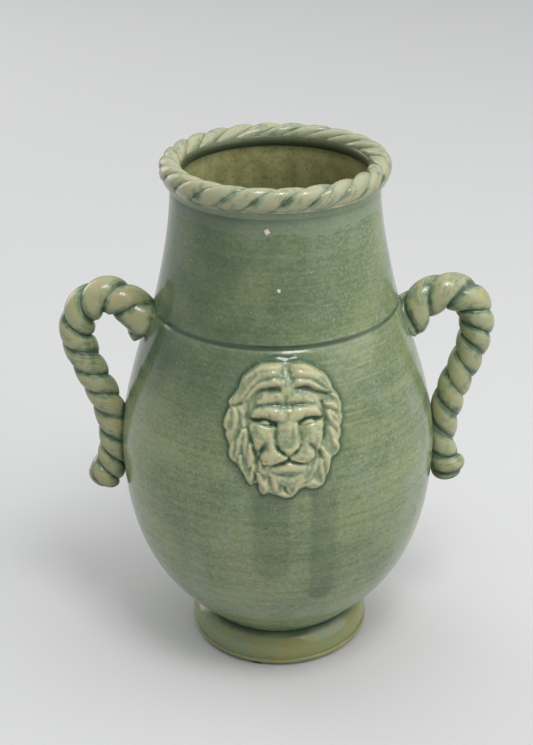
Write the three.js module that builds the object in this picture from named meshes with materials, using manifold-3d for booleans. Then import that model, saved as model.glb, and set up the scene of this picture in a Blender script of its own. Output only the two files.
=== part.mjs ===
// Glazed stoneware urn with a rope-twist rim, two rope-twist handles and a lion mask.
// Millimetres, +Z up. The origin lies on the urn's axis, on the surface that it stands on.
// The mask faces -Y and the handles stand out along -X and +X. Heights stack up from the pads.
import * as THREE from 'three';
import { mergeVertices } from 'three/addons/utils/BufferGeometryUtils.js';
import Module from 'manifold-3d';

const wasm = await Module();
wasm.setup();

const URN_HEIGHT = 350.5; // pads to the top of the rim's rope

// Felt pads under the foot.
const PAD_COUNT = 3;
const PAD_RADIUS = 6.5;
const PAD_THICKNESS = 1.6;
const FIRST_PAD_ANGLE = -18; // degrees round from the front

// Foot ring.
const FOOT_RADIUS = 63;
const FOOT_HEIGHT = 21.9; // pads to the seat under the belly
const FOOT_SIDE_HEIGHT = 8.9; // upright outer side, below the slope
const FOOT_EDGE_RADIUS = 2;
const FOOT_SIDE_PULL = 5.5; // how long the slope stays upright above the side
const FOOT_SLOPE_PULL = [5.5, 3.6]; // out and down, how the slope leaves the waist
const FOOT_BASE_WIDTH = 16; // ring that stands on the pads
const FOOT_SEAT_WIDTH = 10; // ring that the belly is luted to

// Lower body: a full belly that closes in to the waist above the foot.
const WAIST_RADIUS = 54;
const BELLY_RADIUS = 106.5;
const BELLY_RISE = 128.1; // seat to the fullest girth
const WAIST_FLARE = 44.4; // degrees from upright where the belly leaves the foot
const WAIST_PULL = 35.6; // how long the belly keeps that flare
const BELLY_PULL = 78.2; // how long it stays upright below the fullest girth
const SHOULDER_RISE = 101.6; // fullest girth to the shoulder seam
const SHOULDER_PULL = 31.6; // how long it stays upright above the fullest girth
const SEAM_RADIUS = 80.2;

// Upper body: shoulder and neck.
const NECK_RADIUS = 66.9;
const NECK_PULL = 26.3; // how long the neck stays upright below its top

// Walls and joints.
const WALL = 7;
const FLOOR = 9;
const FLOOR_CORNER = 8; // round where the floor meets the wall
const SEAM_GROOVE = 1.2; // incised line round the shoulder
const TENON_HEIGHT = 5; // lap joint inside the shoulder seam
const SLIP_GAP = 0.3; // joint filled with slip

// Rim: a collar with a trough, and three strands of rope twist laid in it behind the collar's lip.
const RIM_ROPE_RADIUS = 6.2; // across the rope, level
const RIM_ROPE_STRETCH = 1.23; // how much taller the rope is than wide
const RIM_ROPE_OVERHANG = 0.1; // rope's centre line outside the neck's outer face
const RIM_STRANDS = 3;
const RIM_TURNS = 8; // turns of each strand round the rope, once round the mouth
const RIM_PHASE = 40.6; // degrees
const COLLAR_WEB = 4; // clay under the trough
const COLLAR_EDGE = 1.4; // thickness of the ledge and of the lip's bevel
const LIP_FACE = 6.5; // upright inner face of the lip
const LIP_OVERHANG = 0.9; // how far the lip's face stands in from the neck's inner face
const TROUGH_OUTER = -50; // degrees about the rope's centre, where the trough begins
const TROUGH_INNER = -199; // and where it ends

// Handles: two strands twisted together, bent to a loop and pressed on the body.
const HANDLE_STRANDS = 2;
const HANDLE_LAY = 32.4; // mean length of one full turn of a strand
const HANDLE_TOP_RADIUS = 13.3;
const HANDLE_TAIL_RADIUS = 11.2;
const HANDLE_TAPER = [0.2, 0.6]; // shares of its length between which a handle thins
const ROOT_SPREAD = 2.6; // how much wider the rope is where it is pressed on the body
const ROOT_REACH = 9;
const ROOT_LENGTH = 16; // length of the route inside the body
const TAIL_SPREAD = 1.5; // how much the tail swells
const TAIL_REACH = 22;
const TAIL_ROUNDING = 9;
const TAIL_END = 0.32; // what is left of the tail's radius at its very end
const ROPE_GROOVE = 0.22; // depth of the grooves between strands, of the rope's radius
const STRAND_GAP = 0.4;

// Each handle's route in its upright plane: distance out from the body's face, then drop below the seam.
// It was twisted by hand, so each has its own turns: length along the route, then degrees.
const HANDLES = [
  {
    name: 'handle_left',
    side: -1,
    route: [
      [-14, 27], [-4, 19], [12, 4.4], [31, -4.6], [44, 3.2], [44, 21], [35, 37],
      [24.6, 53], [12.6, 72], [5.6, 93], [5.6, 107], [10.2, 121], [20, 137.6],
    ],
    twist: [
      [14.3, -40], [31.3, -159], [46.6, -337], [64.6, -529], [80.4, -722], [96.5, -913], [114.7, -1095],
      [130.1, -1276], [147.3, -1451], [164.7, -1624], [178.9, -1797], [190.9, -1977],
    ],
  },
  {
    name: 'handle_right',
    side: 1,
    route: [
      [-14, 28], [-4, 21], [12, 7.4], [31.5, -1.2], [45.5, 5], [45.6, 21], [38.5, 37],
      [28.4, 53], [18, 69], [10.8, 85], [6.6, 104], [8, 119], [19.5, 139.6],
    ],
    twist: [
      [19.2, -202], [36, -385], [54.4, -559], [69.6, -719], [82.9, -889], [96.2, -1064], [112.2, -1240],
      [128.9, -1420], [144.9, -1604], [163.1, -1788], [183.8, -1976], [197.7, -2160],
    ],
  },
];

// Lion mask: a sprig pressed on the belly. Across is to the viewer's right, up is from its centre.
const MASK_DROP = 48.2; // its centre below the shoulder seam
const MASK_EDGE = 2.4; // thickness at its outline
const MASK_ROOT = 6; // how deep its uncut back reaches into the body
const MASK_BODY = 4.2; // thickness of the ground between the raised forms
const FORMS_FALL = 0.93; // share of the way out to the outline where the forms begin to thin
const MASK_OUTLINE = [
  [1.7, 40.8], [-2.4, 41.6], [-7.9, 41.8], [-12.7, 41.2], [-16.5, 39.5], [-20.7, 36.1], [-24.6, 32.7],
  [-26.7, 28.6], [-28.7, 24.4], [-31.5, 20.5], [-34.3, 16.6], [-33.7, 13.8], [-34.9, 11.9], [-36.5, 8.5],
  [-37.8, 4.9], [-38.2, 1.6], [-36.8, -0.5], [-37, -3.2], [-35.7, -6.5], [-34.6, -9.4], [-35.3, -13.3],
  [-34.8, -16.6], [-32.4, -19.2], [-29.6, -20.8], [-27.9, -24], [-25.8, -27.3], [-23.8, -31],
  [-21.8, -33.5], [-20.1, -32.1], [-17.4, -31.7], [-17, -35.1], [-15.9, -37.8], [-14.2, -39.2],
  [-10.6, -38.1], [-7.5, -38.8], [-4.1, -40.1], [0, -41.2], [3.6, -40.9], [6, -38.8], [8.5, -36.2],
  [11.7, -34.9], [14.9, -36], [18.6, -36.2], [22.4, -35.1], [24.1, -32.6], [25.2, -29.7], [26.9, -27.1],
  [28, -22.7], [28.9, -18.3], [31.5, -16.9], [34, -14.7], [34.8, -12], [34, -8.4], [35.2, -5.8],
  [35.5, -2.6], [34.9, 0], [36, 2.3], [36.5, 5.5], [35.6, 9.1], [36.2, 12], [35, 16.4], [33, 20.2],
  [30.4, 23.9], [28.9, 28], [26.2, 31.6], [23, 34.7], [18.9, 37.6], [15.2, 40.2], [11.3, 41.5],
  [6.5, 41.6],
];
// Each form is a stroke: rows of across, up, half width and height above the body.
// The face swells as one form under its features.
const FACE_SWELL = [
  [1.4, 18.1, 18.1, 6], [1.4, 5.4, 21.8, 6.8], [1.5, -5.4, 20.1, 7], [1.6, -17, 15.8, 6.6],
  [1.5, -22.4, 12.1, 5.8],
];
// Forehead, brows, nose, cheeks, muzzle, lip and jaw.
const FACE_FORMS = [
  [[-16.6, 18.2, 2.7, 6.6], [-11.1, 20.1, 3.8, 7.3], [-5.6, 21.4, 4.3, 7.8], [-0.4, 21.7, 3.8, 7.8]],
  [[2.3, 21.5, 3.8, 7.8], [8.1, 20.6, 3.9, 7.6], [13.6, 19, 3.1, 7.1], [17.3, 18.1, 2, 6.6]],
  [[-19.7, 11.5, 2.7, 7.8], [-15.7, 12.7, 3.8, 9], [-10.9, 12.9, 3.9, 9.5]],
  [[-8.9, 12.8, 3.9, 9.6], [-4.8, 11.9, 4.7, 10.2], [-1.2, 9.8, 3.4, 9.6]],
  [[21.7, 11.5, 2.7, 7.8], [17.7, 12.8, 3.8, 9], [13.1, 13, 3.9, 9.5]],
  [[11.3, 12.9, 3.9, 9.6], [7.1, 12, 4.7, 10.2], [4, 9.9, 3.4, 9.6]],
  [
    [1.6, 10.3, 4.2, 9], [1.5, 4.7, 5.4, 9.5], [1.6, -0.9, 6.2, 10], [1.8, -5.8, 7.1, 10.5],
    [2.1, -9.1, 5.4, 10.6],
  ],
  [[-2.4, 5.3, 2.3, 9.2], [-2.2, -0.3, 2.6, 9.8], [-2, -5.2, 3, 10.3]],
  [[2.3, 4.7, 1.3, 9.6], [2.2, -0.9, 1.5, 10.1]],
  [[5.5, 5.3, 2.3, 9.2], [5.5, -0.3, 2.6, 9.8], [5.7, -4.9, 3, 10.3]],
  [[-1.4, -8, 3.1, 10.6], [2, -9.3, 3.5, 11], [5.8, -7.7, 3.1, 10.6]],
  [[-18.3, 2.9, 3.4, 6.9], [-14.2, 1.2, 6.7, 8], [-13.7, -3.2, 6, 8.2], [-16.1, -7.5, 3.1, 7.4]],
  [[20.5, 3.6, 3.4, 7.2], [16.6, 1.2, 6.7, 8.1], [16.9, -3.2, 6, 8.2], [19.5, -8.5, 3.1, 7.2]],
  [[-8.8, -0.7, 2.3, 8], [-8.1, -5, 2.7, 8.6], [-7.7, -8.7, 3.4, 9]],
  [[12.5, -1.3, 2.3, 8], [11.3, -5.6, 2.7, 8.6], [10.9, -9.3, 3.4, 9]],
  [[-11.8, -14.5, 3.4, 8.6], [-8, -12.9, 5.5, 9.6], [-3.6, -12.7, 4.3, 9.6], [-0.2, -13.5, 2.3, 9]],
  [[14.6, -13.8, 3, 8.8], [11.5, -12.2, 5.5, 9.8], [7.4, -12.7, 4.3, 9.6], [3.8, -13.8, 2.3, 9]],
  [[-7.2, -7.5, 3.2, 8.8], [-7, -11.1, 4.4, 9.4]],
  [[11, -7.5, 3.2, 8.8], [11.6, -10.5, 4.4, 9.4]],
  [[-13.3, -17.5, 0.9, 8.4], [-8.8, -17, 1.1, 9], [-3.3, -15.4, 1.1, 9.2], [0.4, -14.1, 0.9, 9]],
  [[3.3, -14.6, 0.9, 9], [7.3, -16, 1.1, 9.2], [12.1, -16.4, 1.1, 8.8], [15, -15.4, 0.9, 8.2]],
  [
    [-6.4, -21.5, 2.1, 6.8], [-2.4, -20.9, 3, 7.7], [1.8, -20.8, 3.2, 8], [6.2, -20.6, 3, 7.7],
    [9.9, -20.1, 1.9, 6.8],
  ],
  [[-9.2, -22, 3.4, 6], [1.3, -25.4, 4.7, 6.4], [12.1, -21.3, 3.4, 6]],
];
// Hollows, whose last number is a depth: hairline, brows, eye sockets, nostrils, mouth, cheeks and chin.
const FACE_HOLLOWS = [
  [
    [-19.7, 20.2, 1.1, 0.8], [-16.5, 23.7, 1.3, 1.2], [-12.4, 25.8, 1.5, 1.4], [-7.5, 26, 1.5, 1.4],
    [-2.8, 25.4, 1.3, 0.8],
  ],
  [
    [6.9, 25.4, 1.3, 0.8], [10.3, 26.2, 1.5, 1.4], [14.4, 25.2, 1.5, 1.4], [18.5, 22.8, 1.3, 1.2],
    [24.6, 21.4, 1.1, 0.8],
  ],
  [[1.4, 15, 1.3, 0.8], [1.4, 10, 1.7, 1], [1.4, 6.8, 1.3, 0.6]],
  [[-20.4, 8, 0.9, 1.6], [-16.2, 7.6, 1.6, 2.9], [-10.7, 6.6, 2.1, 3.6], [-5.8, 5.6, 1.6, 2.9]],
  [[8.8, 6.1, 1.6, 2.9], [12.5, 7.1, 2, 3.5], [17.5, 7.5, 1.6, 3], [22.1, 7.9, 0.9, 1.6]],
  [[-6.2, -5.9, 0.8, 1], [-4, -8.8, 1.1, 1.8], [-1.3, -11.1, 1.1, 1.9], [0.9, -12.7, 0.8, 1.6]],
  [[8.4, -6.9, 0.8, 1.1], [6.5, -9.7, 1.1, 1.8], [4.1, -11.6, 0.9, 1.7], [2.5, -12.9, 0.8, 1.4]],
  [[1.6, -15.6, 0.8, 1.4], [-1.7, -17.5, 0.9, 1.7], [-5.6, -18.8, 0.9, 1.4], [-8.6, -19.4, 0.7, 0.7]],
  [[1.6, -15.6, 0.8, 1.4], [5.3, -17.4, 0.9, 1.7], [9.4, -18.4, 0.9, 1.4], [12.4, -18.5, 0.7, 0.7]],
  [[-11.7, -6.2, 1.1, 1.4], [-13.4, -9.1, 1.7, 2.4], [-14.7, -12, 1.2, 1.6], [-16.3, -15.1, 0.9, 1.1]],
  [
    [-20.9, 15.8, 0.9, 1.1], [-22.3, 9.4, 1.2, 1.4], [-22, 3, 1.2, 1.6], [-21.3, -3.4, 1.2, 1.4],
    [-19.1, -8.5, 1.2, 1.4], [-17.6, -14.8, 1.2, 1.4], [-16.6, -19.3, 0.9, 1.1],
  ],
  [
    [21.8, 17, 0.9, 1.1], [23.7, 12.6, 1.1, 1.4], [23.6, 5.6, 1.2, 1.7], [23.7, -0.8, 1.2, 1.6],
    [21.7, -7.2, 1.1, 1.3], [19.4, -13.6, 1.1, 1.1],
  ],
  [[-7.6, -23.5, 0.9, 0.8], [-3.1, -25, 1.2, 1.3], [3, -25.5, 1.2, 1.3], [8.6, -24, 1.1, 1]],
];
// Eyeballs in their sockets.
const EYES = [
  [[-14.3, 6.2, 0.9, 6.6], [-11.7, 6.6, 1.7, 7.8], [-9.3, 6, 0.9, 6.6]],
  [[10.3, 5.7, 0.9, 6.6], [13.6, 6.5, 1.7, 7.8], [16.6, 6.4, 0.9, 6.6]],
];
// Locks of the mane: from the parting down each side, the beard, then the cheeks' left and right.
const MANE_LOCKS = [
  [
    [-2.5, 38.7, 3, 7.6], [-5.9, 39.3, 4.3, 8.4], [-12.1, 38.4, 4.6, 8], [-17.7, 34.9, 4.3, 7.2],
    [-22.6, 29.7, 3.8, 6.4], [-26.1, 23.8, 3.5, 5.8], [-30.3, 19, 3.2, 5.4], [-32.8, 15.3, 1.9, 4.6],
  ],
  [
    [-2.8, 34.8, 3.1, 8.4], [-6.7, 34.9, 3.7, 8.8], [-12.2, 33.3, 3.7, 8.2], [-17.1, 29.8, 3.4, 7.4],
    [-21.3, 25.2, 3.1, 6.6], [-25.5, 20, 3, 5.8], [-29.4, 16.5, 2.1, 5],
  ],
  [
    [-2.9, 30.3, 3.4, 9], [-6.1, 30.5, 4, 9.2], [-10.9, 29.1, 3.8, 8.6], [-15.4, 26.6, 3.2, 7.8],
    [-18.6, 23.3, 2.8, 7], [-21.4, 20, 2.5, 6.2], [-23.8, 17.6, 1.9, 5.4],
  ],
  [
    [6.2, 38.3, 3, 7.6], [9.2, 39.1, 4.3, 8.6], [14.7, 37.8, 4.6, 8.4], [20.1, 34.9, 4.3, 7.8],
    [24.5, 31, 4, 7], [27.8, 26.5, 3.4, 6.4], [30.8, 21.9, 3.1, 5.8], [33.8, 17, 2.8, 5.2],
    [35.4, 12.7, 1.6, 4.4],
  ],
  [
    [6.4, 34.4, 3.1, 8.4], [9.1, 34.6, 3.7, 8.9], [14.6, 33.4, 3.7, 8.4], [19.7, 30.7, 3.2, 7.6],
    [23.4, 27.2, 2.8, 6.8], [27.1, 23.9, 2.4, 6], [30.1, 21.1, 1.6, 5.4],
  ],
  [
    [6.3, 29.7, 3.2, 9], [8.7, 29.8, 3.8, 9.2], [13.1, 29.6, 3.1, 8.6], [16.5, 27.6, 2.8, 8.2],
    [19.9, 25.5, 2.5, 7.6], [24, 23.6, 1.8, 6.4], [28.1, 22.4, 1.2, 5.6],
  ],
  [[-16.5, -24.7, 1.8, 5.4], [-15.2, -28.8, 2.5, 5.8], [-12.5, -32.4, 3, 5.6], [-13.1, -36.4, 2.4, 4.6]],
  [[-16.4, -31.3, 1.2, 4.8], [-15.8, -35.3, 1.3, 4.6], [-14.6, -37.4, 1.2, 4.2]],
  [[-7.6, -26.2, 1.9, 5.8], [-6.7, -30, 2.5, 6], [-6.2, -34, 2.5, 5.6], [-5.8, -36.9, 1.8, 4.6]],
  [
    [-5.1, -37.5, 1.3, 4.6], [-1.3, -39, 1.3, 4.6], [2.8, -38.8, 1.5, 4.8], [5, -36.1, 1.9, 5],
    [6.7, -32.8, 2.1, 5.2],
  ],
  [[-3.9, -28.3, 1.3, 5.4], [-1.7, -30.6, 1.6, 5.6], [0.5, -32.8, 1.3, 5.2], [1.6, -36.1, 1.5, 5]],
  [[6.4, -31.5, 2.1, 5.2], [9.3, -29.3, 2.4, 5.6], [12.5, -28.4, 2.1, 5.4]],
  [
    [12.4, -32, 2.1, 5.2], [16.3, -30.8, 3.1, 5.8], [20.1, -32.9, 2.4, 5], [22.7, -31.7, 1.6, 4.6],
    [23.3, -29.5, 1.2, 4.6],
  ],
  [[-34.3, 11.8, 1.3, 4.8], [-35.5, 8.3, 2.1, 5.2], [-36.6, 4.7, 1.9, 4.8], [-37.1, 2, 1, 4]],
  [
    [-29.8, 13, 1.9, 6], [-29, 8.6, 2.7, 6.4], [-29.6, 3.4, 2.8, 6.2], [-31.8, -1.2, 2.5, 5.6],
    [-34.4, -4.7, 1.5, 4.4],
  ],
  [[-26.2, 14, 2.4, 5.2], [-24.6, 9, 2.5, 5.4], [-23.9, 3.9, 1.9, 5.6]],
  [
    [-25.2, 0.5, 1.8, 6.2], [-26.7, -4.2, 2.5, 6.4], [-28.1, -9.5, 2.8, 6], [-29.1, -14.1, 2.5, 5.4],
    [-30, -17.5, 1.6, 4.8],
  ],
  [[-23, 0.7, 2.1, 5.6], [-23.6, -5, 2.7, 5.8], [-23.8, -10.9, 2.5, 5.6], [-23.5, -14.8, 1.9, 5.2]],
  [[-30.2, -6.8, 2.1, 5], [-31.8, -10.3, 2.7, 5.4], [-33.4, -13.7, 2.5, 5], [-32.6, -17.3, 1.6, 4.4]],
  [
    [-26.9, -14.7, 1.9, 5.8], [-26.7, -18.4, 2.2, 6], [-26.5, -22.4, 2.2, 5.6], [-24.8, -26.4, 2.1, 5.2],
    [-22.7, -30.6, 1.3, 4.6],
  ],
  [[-20.3, -8.3, 2.1, 6.8], [-20.4, -12.4, 3, 7.2], [-20.8, -16.3, 3, 6.8], [-21.3, -19.7, 2.2, 6.2]],
  [
    [-20.5, -17.6, 1.9, 6.8], [-19, -20.7, 2.1, 6.6], [-20, -24.3, 2.1, 6], [-21, -28.3, 1.8, 5.4],
    [-21.6, -31.2, 1.2, 4.6],
  ],
  [[-15.2, -18.4, 2.4, 6], [-13.9, -22.4, 2.8, 5.8], [-11, -25.2, 2.4, 5.4]],
  [[28.4, 20, 1.8, 5.8], [31.4, 17.8, 2.5, 6], [33.5, 14.5, 2.1, 5.4], [35.1, 11.9, 1.2, 4.4]],
  [
    [24.2, 15.6, 1.9, 6.4], [27.9, 14.2, 2.5, 6.6], [31.6, 11.4, 2.7, 6.2], [34.1, 7.4, 2.1, 5.4],
    [35.2, 3.3, 1.2, 4.4],
  ],
  [[26.8, 10.3, 1.9, 5.6], [29.8, 7.1, 2.5, 5.6], [32.8, 3.1, 1.8, 5]],
  [
    [25.6, 9.5, 1.6, 6.2], [27.4, 5.4, 2.4, 6.4], [30.4, 2.4, 2.5, 6.2], [32.6, -0.9, 1.9, 5.4],
    [34.2, -4.5, 1, 4.2],
  ],
  [[26.9, 0.6, 1.9, 5], [28.6, -3.9, 2.5, 5.2], [29.9, -7.1, 2.2, 5.2]],
  [[28.5, -6.7, 1.9, 5.6], [30.5, -9.5, 2.8, 6], [32.3, -12.3, 2.5, 5.4], [31.3, -14.8, 1.5, 4.6]],
  [
    [21.9, -10.9, 1.6, 6.6], [23.8, -14.9, 3.4, 7.2], [25.1, -19.5, 3.5, 6.8], [25.2, -24.7, 2.4, 5.6],
    [24.7, -27.4, 1.2, 4.6],
  ],
  [[21, -17.9, 2.5, 5.8], [21.3, -23.4, 2.8, 5.5], [21.7, -28.7, 1.9, 5]],
  [[18.2, -18.1, 2.7, 6], [16.1, -23, 3.1, 5.8], [13.9, -26.8, 2.5, 5.4]],
];
// The parting between them, whose last number is the height of its floor.
const PARTING = [
  [1.3, 41.2, 2.3, 2.4], [1.3, 35.5, 2, 3.4], [1.8, 31.5, 2.1, 5.6], [2.1, 26.9, 3.6, 7.6],
  [1.6, 23.8, 2.7, 7.8],
];

// Facets.
const SEGMENTS = 48;
const BODY_STEPS = 8;
const NECK_STEPS = 6;
const ARC_STEPS = 3;
const TROUGH_STEPS = 6;
const STEPS_PER_TURN = 9;
const LOBE_POINTS = 5;
const PAD_SIDES = 16;
const MASK_CELLS = 26;
const LINE_SAMPLES = 400;
const SLOPE_STEP = 0.5;
const MERGE_TOLERANCE = 1e-4;

const seatHeight = PAD_THICKNESS + FOOT_HEIGHT;
const bellyHeight = seatHeight + BELLY_RISE;
const seamHeight = bellyHeight + SHOULDER_RISE;
const rimRopeRise = RIM_ROPE_RADIUS * RIM_ROPE_STRETCH;
const rimRopeHeight = URN_HEIGHT - rimRopeRise;
const neckTop = rimRopeHeight - rimRopeRise - SLIP_GAP - COLLAR_WEB;

const GLAZE = { color: 0x71866a, roughness: 0.22, metalness: 0 };
const ROPE_GLAZE = { color: 0xa9ab84, roughness: 0.26, metalness: 0 };
const FOOT_GLAZE = { color: 0x7b7f55, roughness: 0.3, metalness: 0 };
const FELT = { color: 0x1c1b1a, roughness: 0.95, metalness: 0 };

const radians = THREE.MathUtils.degToRad;

// The body's outer line, from the waist over the belly and the shoulder seam to the top of the neck.
function lowerLine() {
  const line = new THREE.Path();
  line.moveTo(WAIST_RADIUS, seatHeight);
  line.bezierCurveTo(
    WAIST_RADIUS + WAIST_PULL * Math.sin(radians(WAIST_FLARE)),
    seatHeight + WAIST_PULL * Math.cos(radians(WAIST_FLARE)),
    BELLY_RADIUS,
    bellyHeight - BELLY_PULL,
    BELLY_RADIUS,
    bellyHeight,
  );
  line.quadraticCurveTo(BELLY_RADIUS, bellyHeight + SHOULDER_PULL, SEAM_RADIUS, seamHeight);
  return line;
}

function upperLine() {
  const line = new THREE.Path();
  line.moveTo(SEAM_RADIUS, seamHeight);
  line.quadraticCurveTo(NECK_RADIUS, neckTop - NECK_PULL, NECK_RADIUS, neckTop);
  return line;
}

// The same line moved in by the wall's thickness.
function inset(points, depth) {
  return points.map((point, i) => {
    const before = points[Math.max(i - 1, 0)];
    const after = points[Math.min(i + 1, points.length - 1)];
    const along = after.clone().sub(before).normalize();
    return new THREE.Vector2(point.x - along.y * depth, point.y + along.x * depth);
  });
}

// Reads a line's x, such as a radius or a turn, at a y, such as a height or a length.
function lineReader(points) {
  return (height) => {
    const last = points.length - 1;
    const next = points.findIndex((point) => point.y >= height);
    const upper = next < 0 ? last : Math.max(next, 1);
    const a = points[upper - 1];
    const b = points[upper];
    return a.x + ((b.x - a.x) * (height - a.y)) / (b.y - a.y);
  };
}

const lowerSamples = lowerLine().getSpacedPoints(LINE_SAMPLES);
const upperSamples = upperLine().getSpacedPoints(LINE_SAMPLES);
const outerRadius = lineReader([...lowerSamples, ...upperSamples.slice(1)]);
const lowerInside = lineReader(inset(lowerSamples, WALL));
const upperInside = lineReader(inset(upperSamples, WALL));

const at = (radius, height) => new THREE.Vector2(radius, height);

// Evenly spaced points of a round stretch of a profile, angles in degrees.
function arc(centre, radius, from, to, steps) {
  const points = [];
  for (let i = 0; i <= steps; i += 1) {
    const angle = radians(from + ((to - from) * i) / steps);
    points.push(at(centre.x + radius * Math.cos(angle), centre.y + radius * Math.sin(angle)));
  }
  return points;
}

// Turns a profile, run anticlockwise in radius and height, about the urn's axis.
function turned(points) {
  const geometry = new THREE.LatheGeometry(points, SEGMENTS);
  geometry.rotateX(Math.PI / 2);
  return geometry;
}

function ring(points) {
  return turned([...points, points[0]]);
}

// Belly with its floor, a grooved seat at the shoulder seam and a tenon inside the seat.
const tenonRadius = (SEAM_RADIUS + lowerInside(seamHeight)) / 2;
const tenonTop = seamHeight + TENON_HEIGHT;

function lowerBody() {
  const outer = lowerLine().getSpacedPoints(2 * BODY_STEPS);
  const grooveFoot = seamHeight - SEAM_GROOVE;
  const outside = outer.filter((point) => point.y < grooveFoot - SEAM_GROOVE);
  const floorTop = seatHeight + FLOOR;
  const cornerTop = floorTop + FLOOR_CORNER;
  const cornerRadius = lowerInside(cornerTop);
  const inner = inset(lowerLine().getSpacedPoints(BODY_STEPS), WALL);
  const inside = inner.filter((point) => point.y > cornerTop + FLOOR && point.y < seamHeight - WALL);
  return turned([
    at(0, seatHeight),
    ...outside,
    at(outerRadius(grooveFoot), grooveFoot),
    at(SEAM_RADIUS - SEAM_GROOVE, seamHeight),
    at(tenonRadius, seamHeight),
    at(tenonRadius, tenonTop),
    at(upperInside(tenonTop), tenonTop),
    ...inside.reverse(),
    at(cornerRadius, cornerTop),
    at(cornerRadius - FLOOR_CORNER, floorTop),
    at(0, floorTop),
  ]);
}

// Shoulder and neck, with a socket over the tenon.
function upperBody() {
  const outer = upperLine().getSpacedPoints(NECK_STEPS);
  const grooveTop = seamHeight + SEAM_GROOVE;
  const socketTop = tenonTop + SLIP_GAP;
  const socketRadius = tenonRadius + SLIP_GAP;
  const outside = outer.filter((point) => point.y > grooveTop + SEAM_GROOVE);
  const inner = inset(upperLine().getSpacedPoints(NECK_STEPS / 2), WALL);
  const inside = inner.filter((point) => point.y > socketTop + SEAM_GROOVE && point.y < neckTop - WALL);
  return ring([
    at(socketRadius, seamHeight),
    at(SEAM_RADIUS - SEAM_GROOVE, seamHeight),
    at(outerRadius(grooveTop), grooveTop),
    ...outside,
    at(NECK_RADIUS - WALL, neckTop),
    ...inside.reverse(),
    at(upperInside(socketTop), socketTop),
    at(socketRadius, socketTop),
  ]);
}

// Foot: a ring with an upright side, a slope up to the waist and a hollow underneath.
function footRing() {
  const base = PAD_THICKNESS;
  const sideTop = base + FOOT_SIDE_HEIGHT;
  const edge = FOOT_EDGE_RADIUS;
  const [out, down] = FOOT_SLOPE_PULL;
  const slope = new THREE.CubicBezierCurve(
    at(FOOT_RADIUS, sideTop),
    at(FOOT_RADIUS, sideTop + FOOT_SIDE_PULL),
    at(WAIST_RADIUS + out, seatHeight - down),
    at(WAIST_RADIUS, seatHeight),
  );
  return ring([
    at(FOOT_RADIUS - FOOT_BASE_WIDTH, base),
    ...arc(at(FOOT_RADIUS - edge, base + edge), edge, -90, 0, ARC_STEPS),
    ...slope.getPoints(2 * ARC_STEPS),
    at(WAIST_RADIUS - FOOT_SEAT_WIDTH, seatHeight),
  ]);
}

// Collar on the neck: a cove spreads to a ledge, and the trough on top rises to a lip round the mouth.
const rimRopeRing = NECK_RADIUS + RIM_ROPE_OVERHANG;

function rimCollar() {
  const width = RIM_ROPE_RADIUS + SLIP_GAP;
  const rise = rimRopeRise + SLIP_GAP;
  const trough = arc(at(0, 0), 1, TROUGH_OUTER, TROUGH_INNER, TROUGH_STEPS).map(
    (point) => at(rimRopeRing + width * point.x, rimRopeHeight + rise * point.y),
  );
  const ledge = trough[0];
  const lip = trough[trough.length - 1];
  const inside = NECK_RADIUS - WALL;
  const cove = new THREE.QuadraticBezierCurve(
    at(NECK_RADIUS, neckTop),
    at(NECK_RADIUS, ledge.y - COLLAR_EDGE),
    at(ledge.x, ledge.y - COLLAR_EDGE),
  );
  const lipTop = lip.y - COLLAR_EDGE;
  return ring([
    at(inside, neckTop),
    ...cove.getPoints(ARC_STEPS),
    ...trough,
    at(inside - LIP_OVERHANG, lipTop),
    at(inside - LIP_OVERHANG, lipTop - LIP_FACE),
    at(inside, lipTop - LIP_FACE - LIP_OVERHANG),
  ]);
}

// One strand's section in a rope: a lobe whose inner corner lies on the rope's axis.
function lobe(radius, strands) {
  const half = Math.PI / strands;
  const shift = STRAND_GAP / (2 * Math.sin(half));
  const points = [at(shift, 0)];
  for (let i = 0; i < LOBE_POINTS; i += 1) {
    const share = (2 * i) / (LOBE_POINTS - 1) - 1;
    const angle = half * share;
    const reach = (radius - shift) * (1 - ROPE_GROOVE * (1 - Math.sqrt(1 - share * share)));
    points.push(at(shift + reach * Math.cos(angle), reach * Math.sin(angle)));
  }
  return points;
}

// Lofts a strand through its stations. Each station has a centre, two directions across the rope,
// the rope's radius there and the angle that the strand has turned to.
function strand(stations, strands, closed) {
  const positions = [];
  for (const station of stations) {
    const across = station.across.clone();
    const beside = station.beside.clone();
    const cos = Math.cos(station.turn);
    const sin = Math.sin(station.turn);
    for (const point of lobe(station.radius, strands)) {
      const a = point.x * cos - point.y * sin;
      const b = point.x * sin + point.y * cos;
      const place = station.centre.clone().addScaledVector(across, a).addScaledVector(beside, b);
      positions.push(place.x, place.y, place.z);
    }
  }
  const sides = LOBE_POINTS + 1;
  const count = stations.length;
  const index = [];
  for (let i = 0; i < (closed ? count : count - 1); i += 1) {
    const low = i * sides;
    const high = ((i + 1) % count) * sides;
    for (let j = 0; j < sides; j += 1) {
      const next = (j + 1) % sides;
      // The two faces beside the axis are split alike, so that neighbouring strands lie parallel.
      if (next === 0) {
        index.push(low + j, low, high + j, low, high, high + j);
      } else {
        index.push(low + j, low + next, high + next, low + j, high + next, high + j);
      }
    }
  }
  if (!closed) {
    const end = (count - 1) * sides;
    for (let j = 1; j < sides - 1; j += 1) {
      index.push(0, j + 1, j, end, end + j, end + j + 1);
    }
  }
  const geometry = new THREE.BufferGeometry();
  geometry.setAttribute('position', new THREE.Float32BufferAttribute(positions, 3));
  geometry.setIndex(index);
  geometry.computeVertexNormals();
  return geometry;
}

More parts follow.
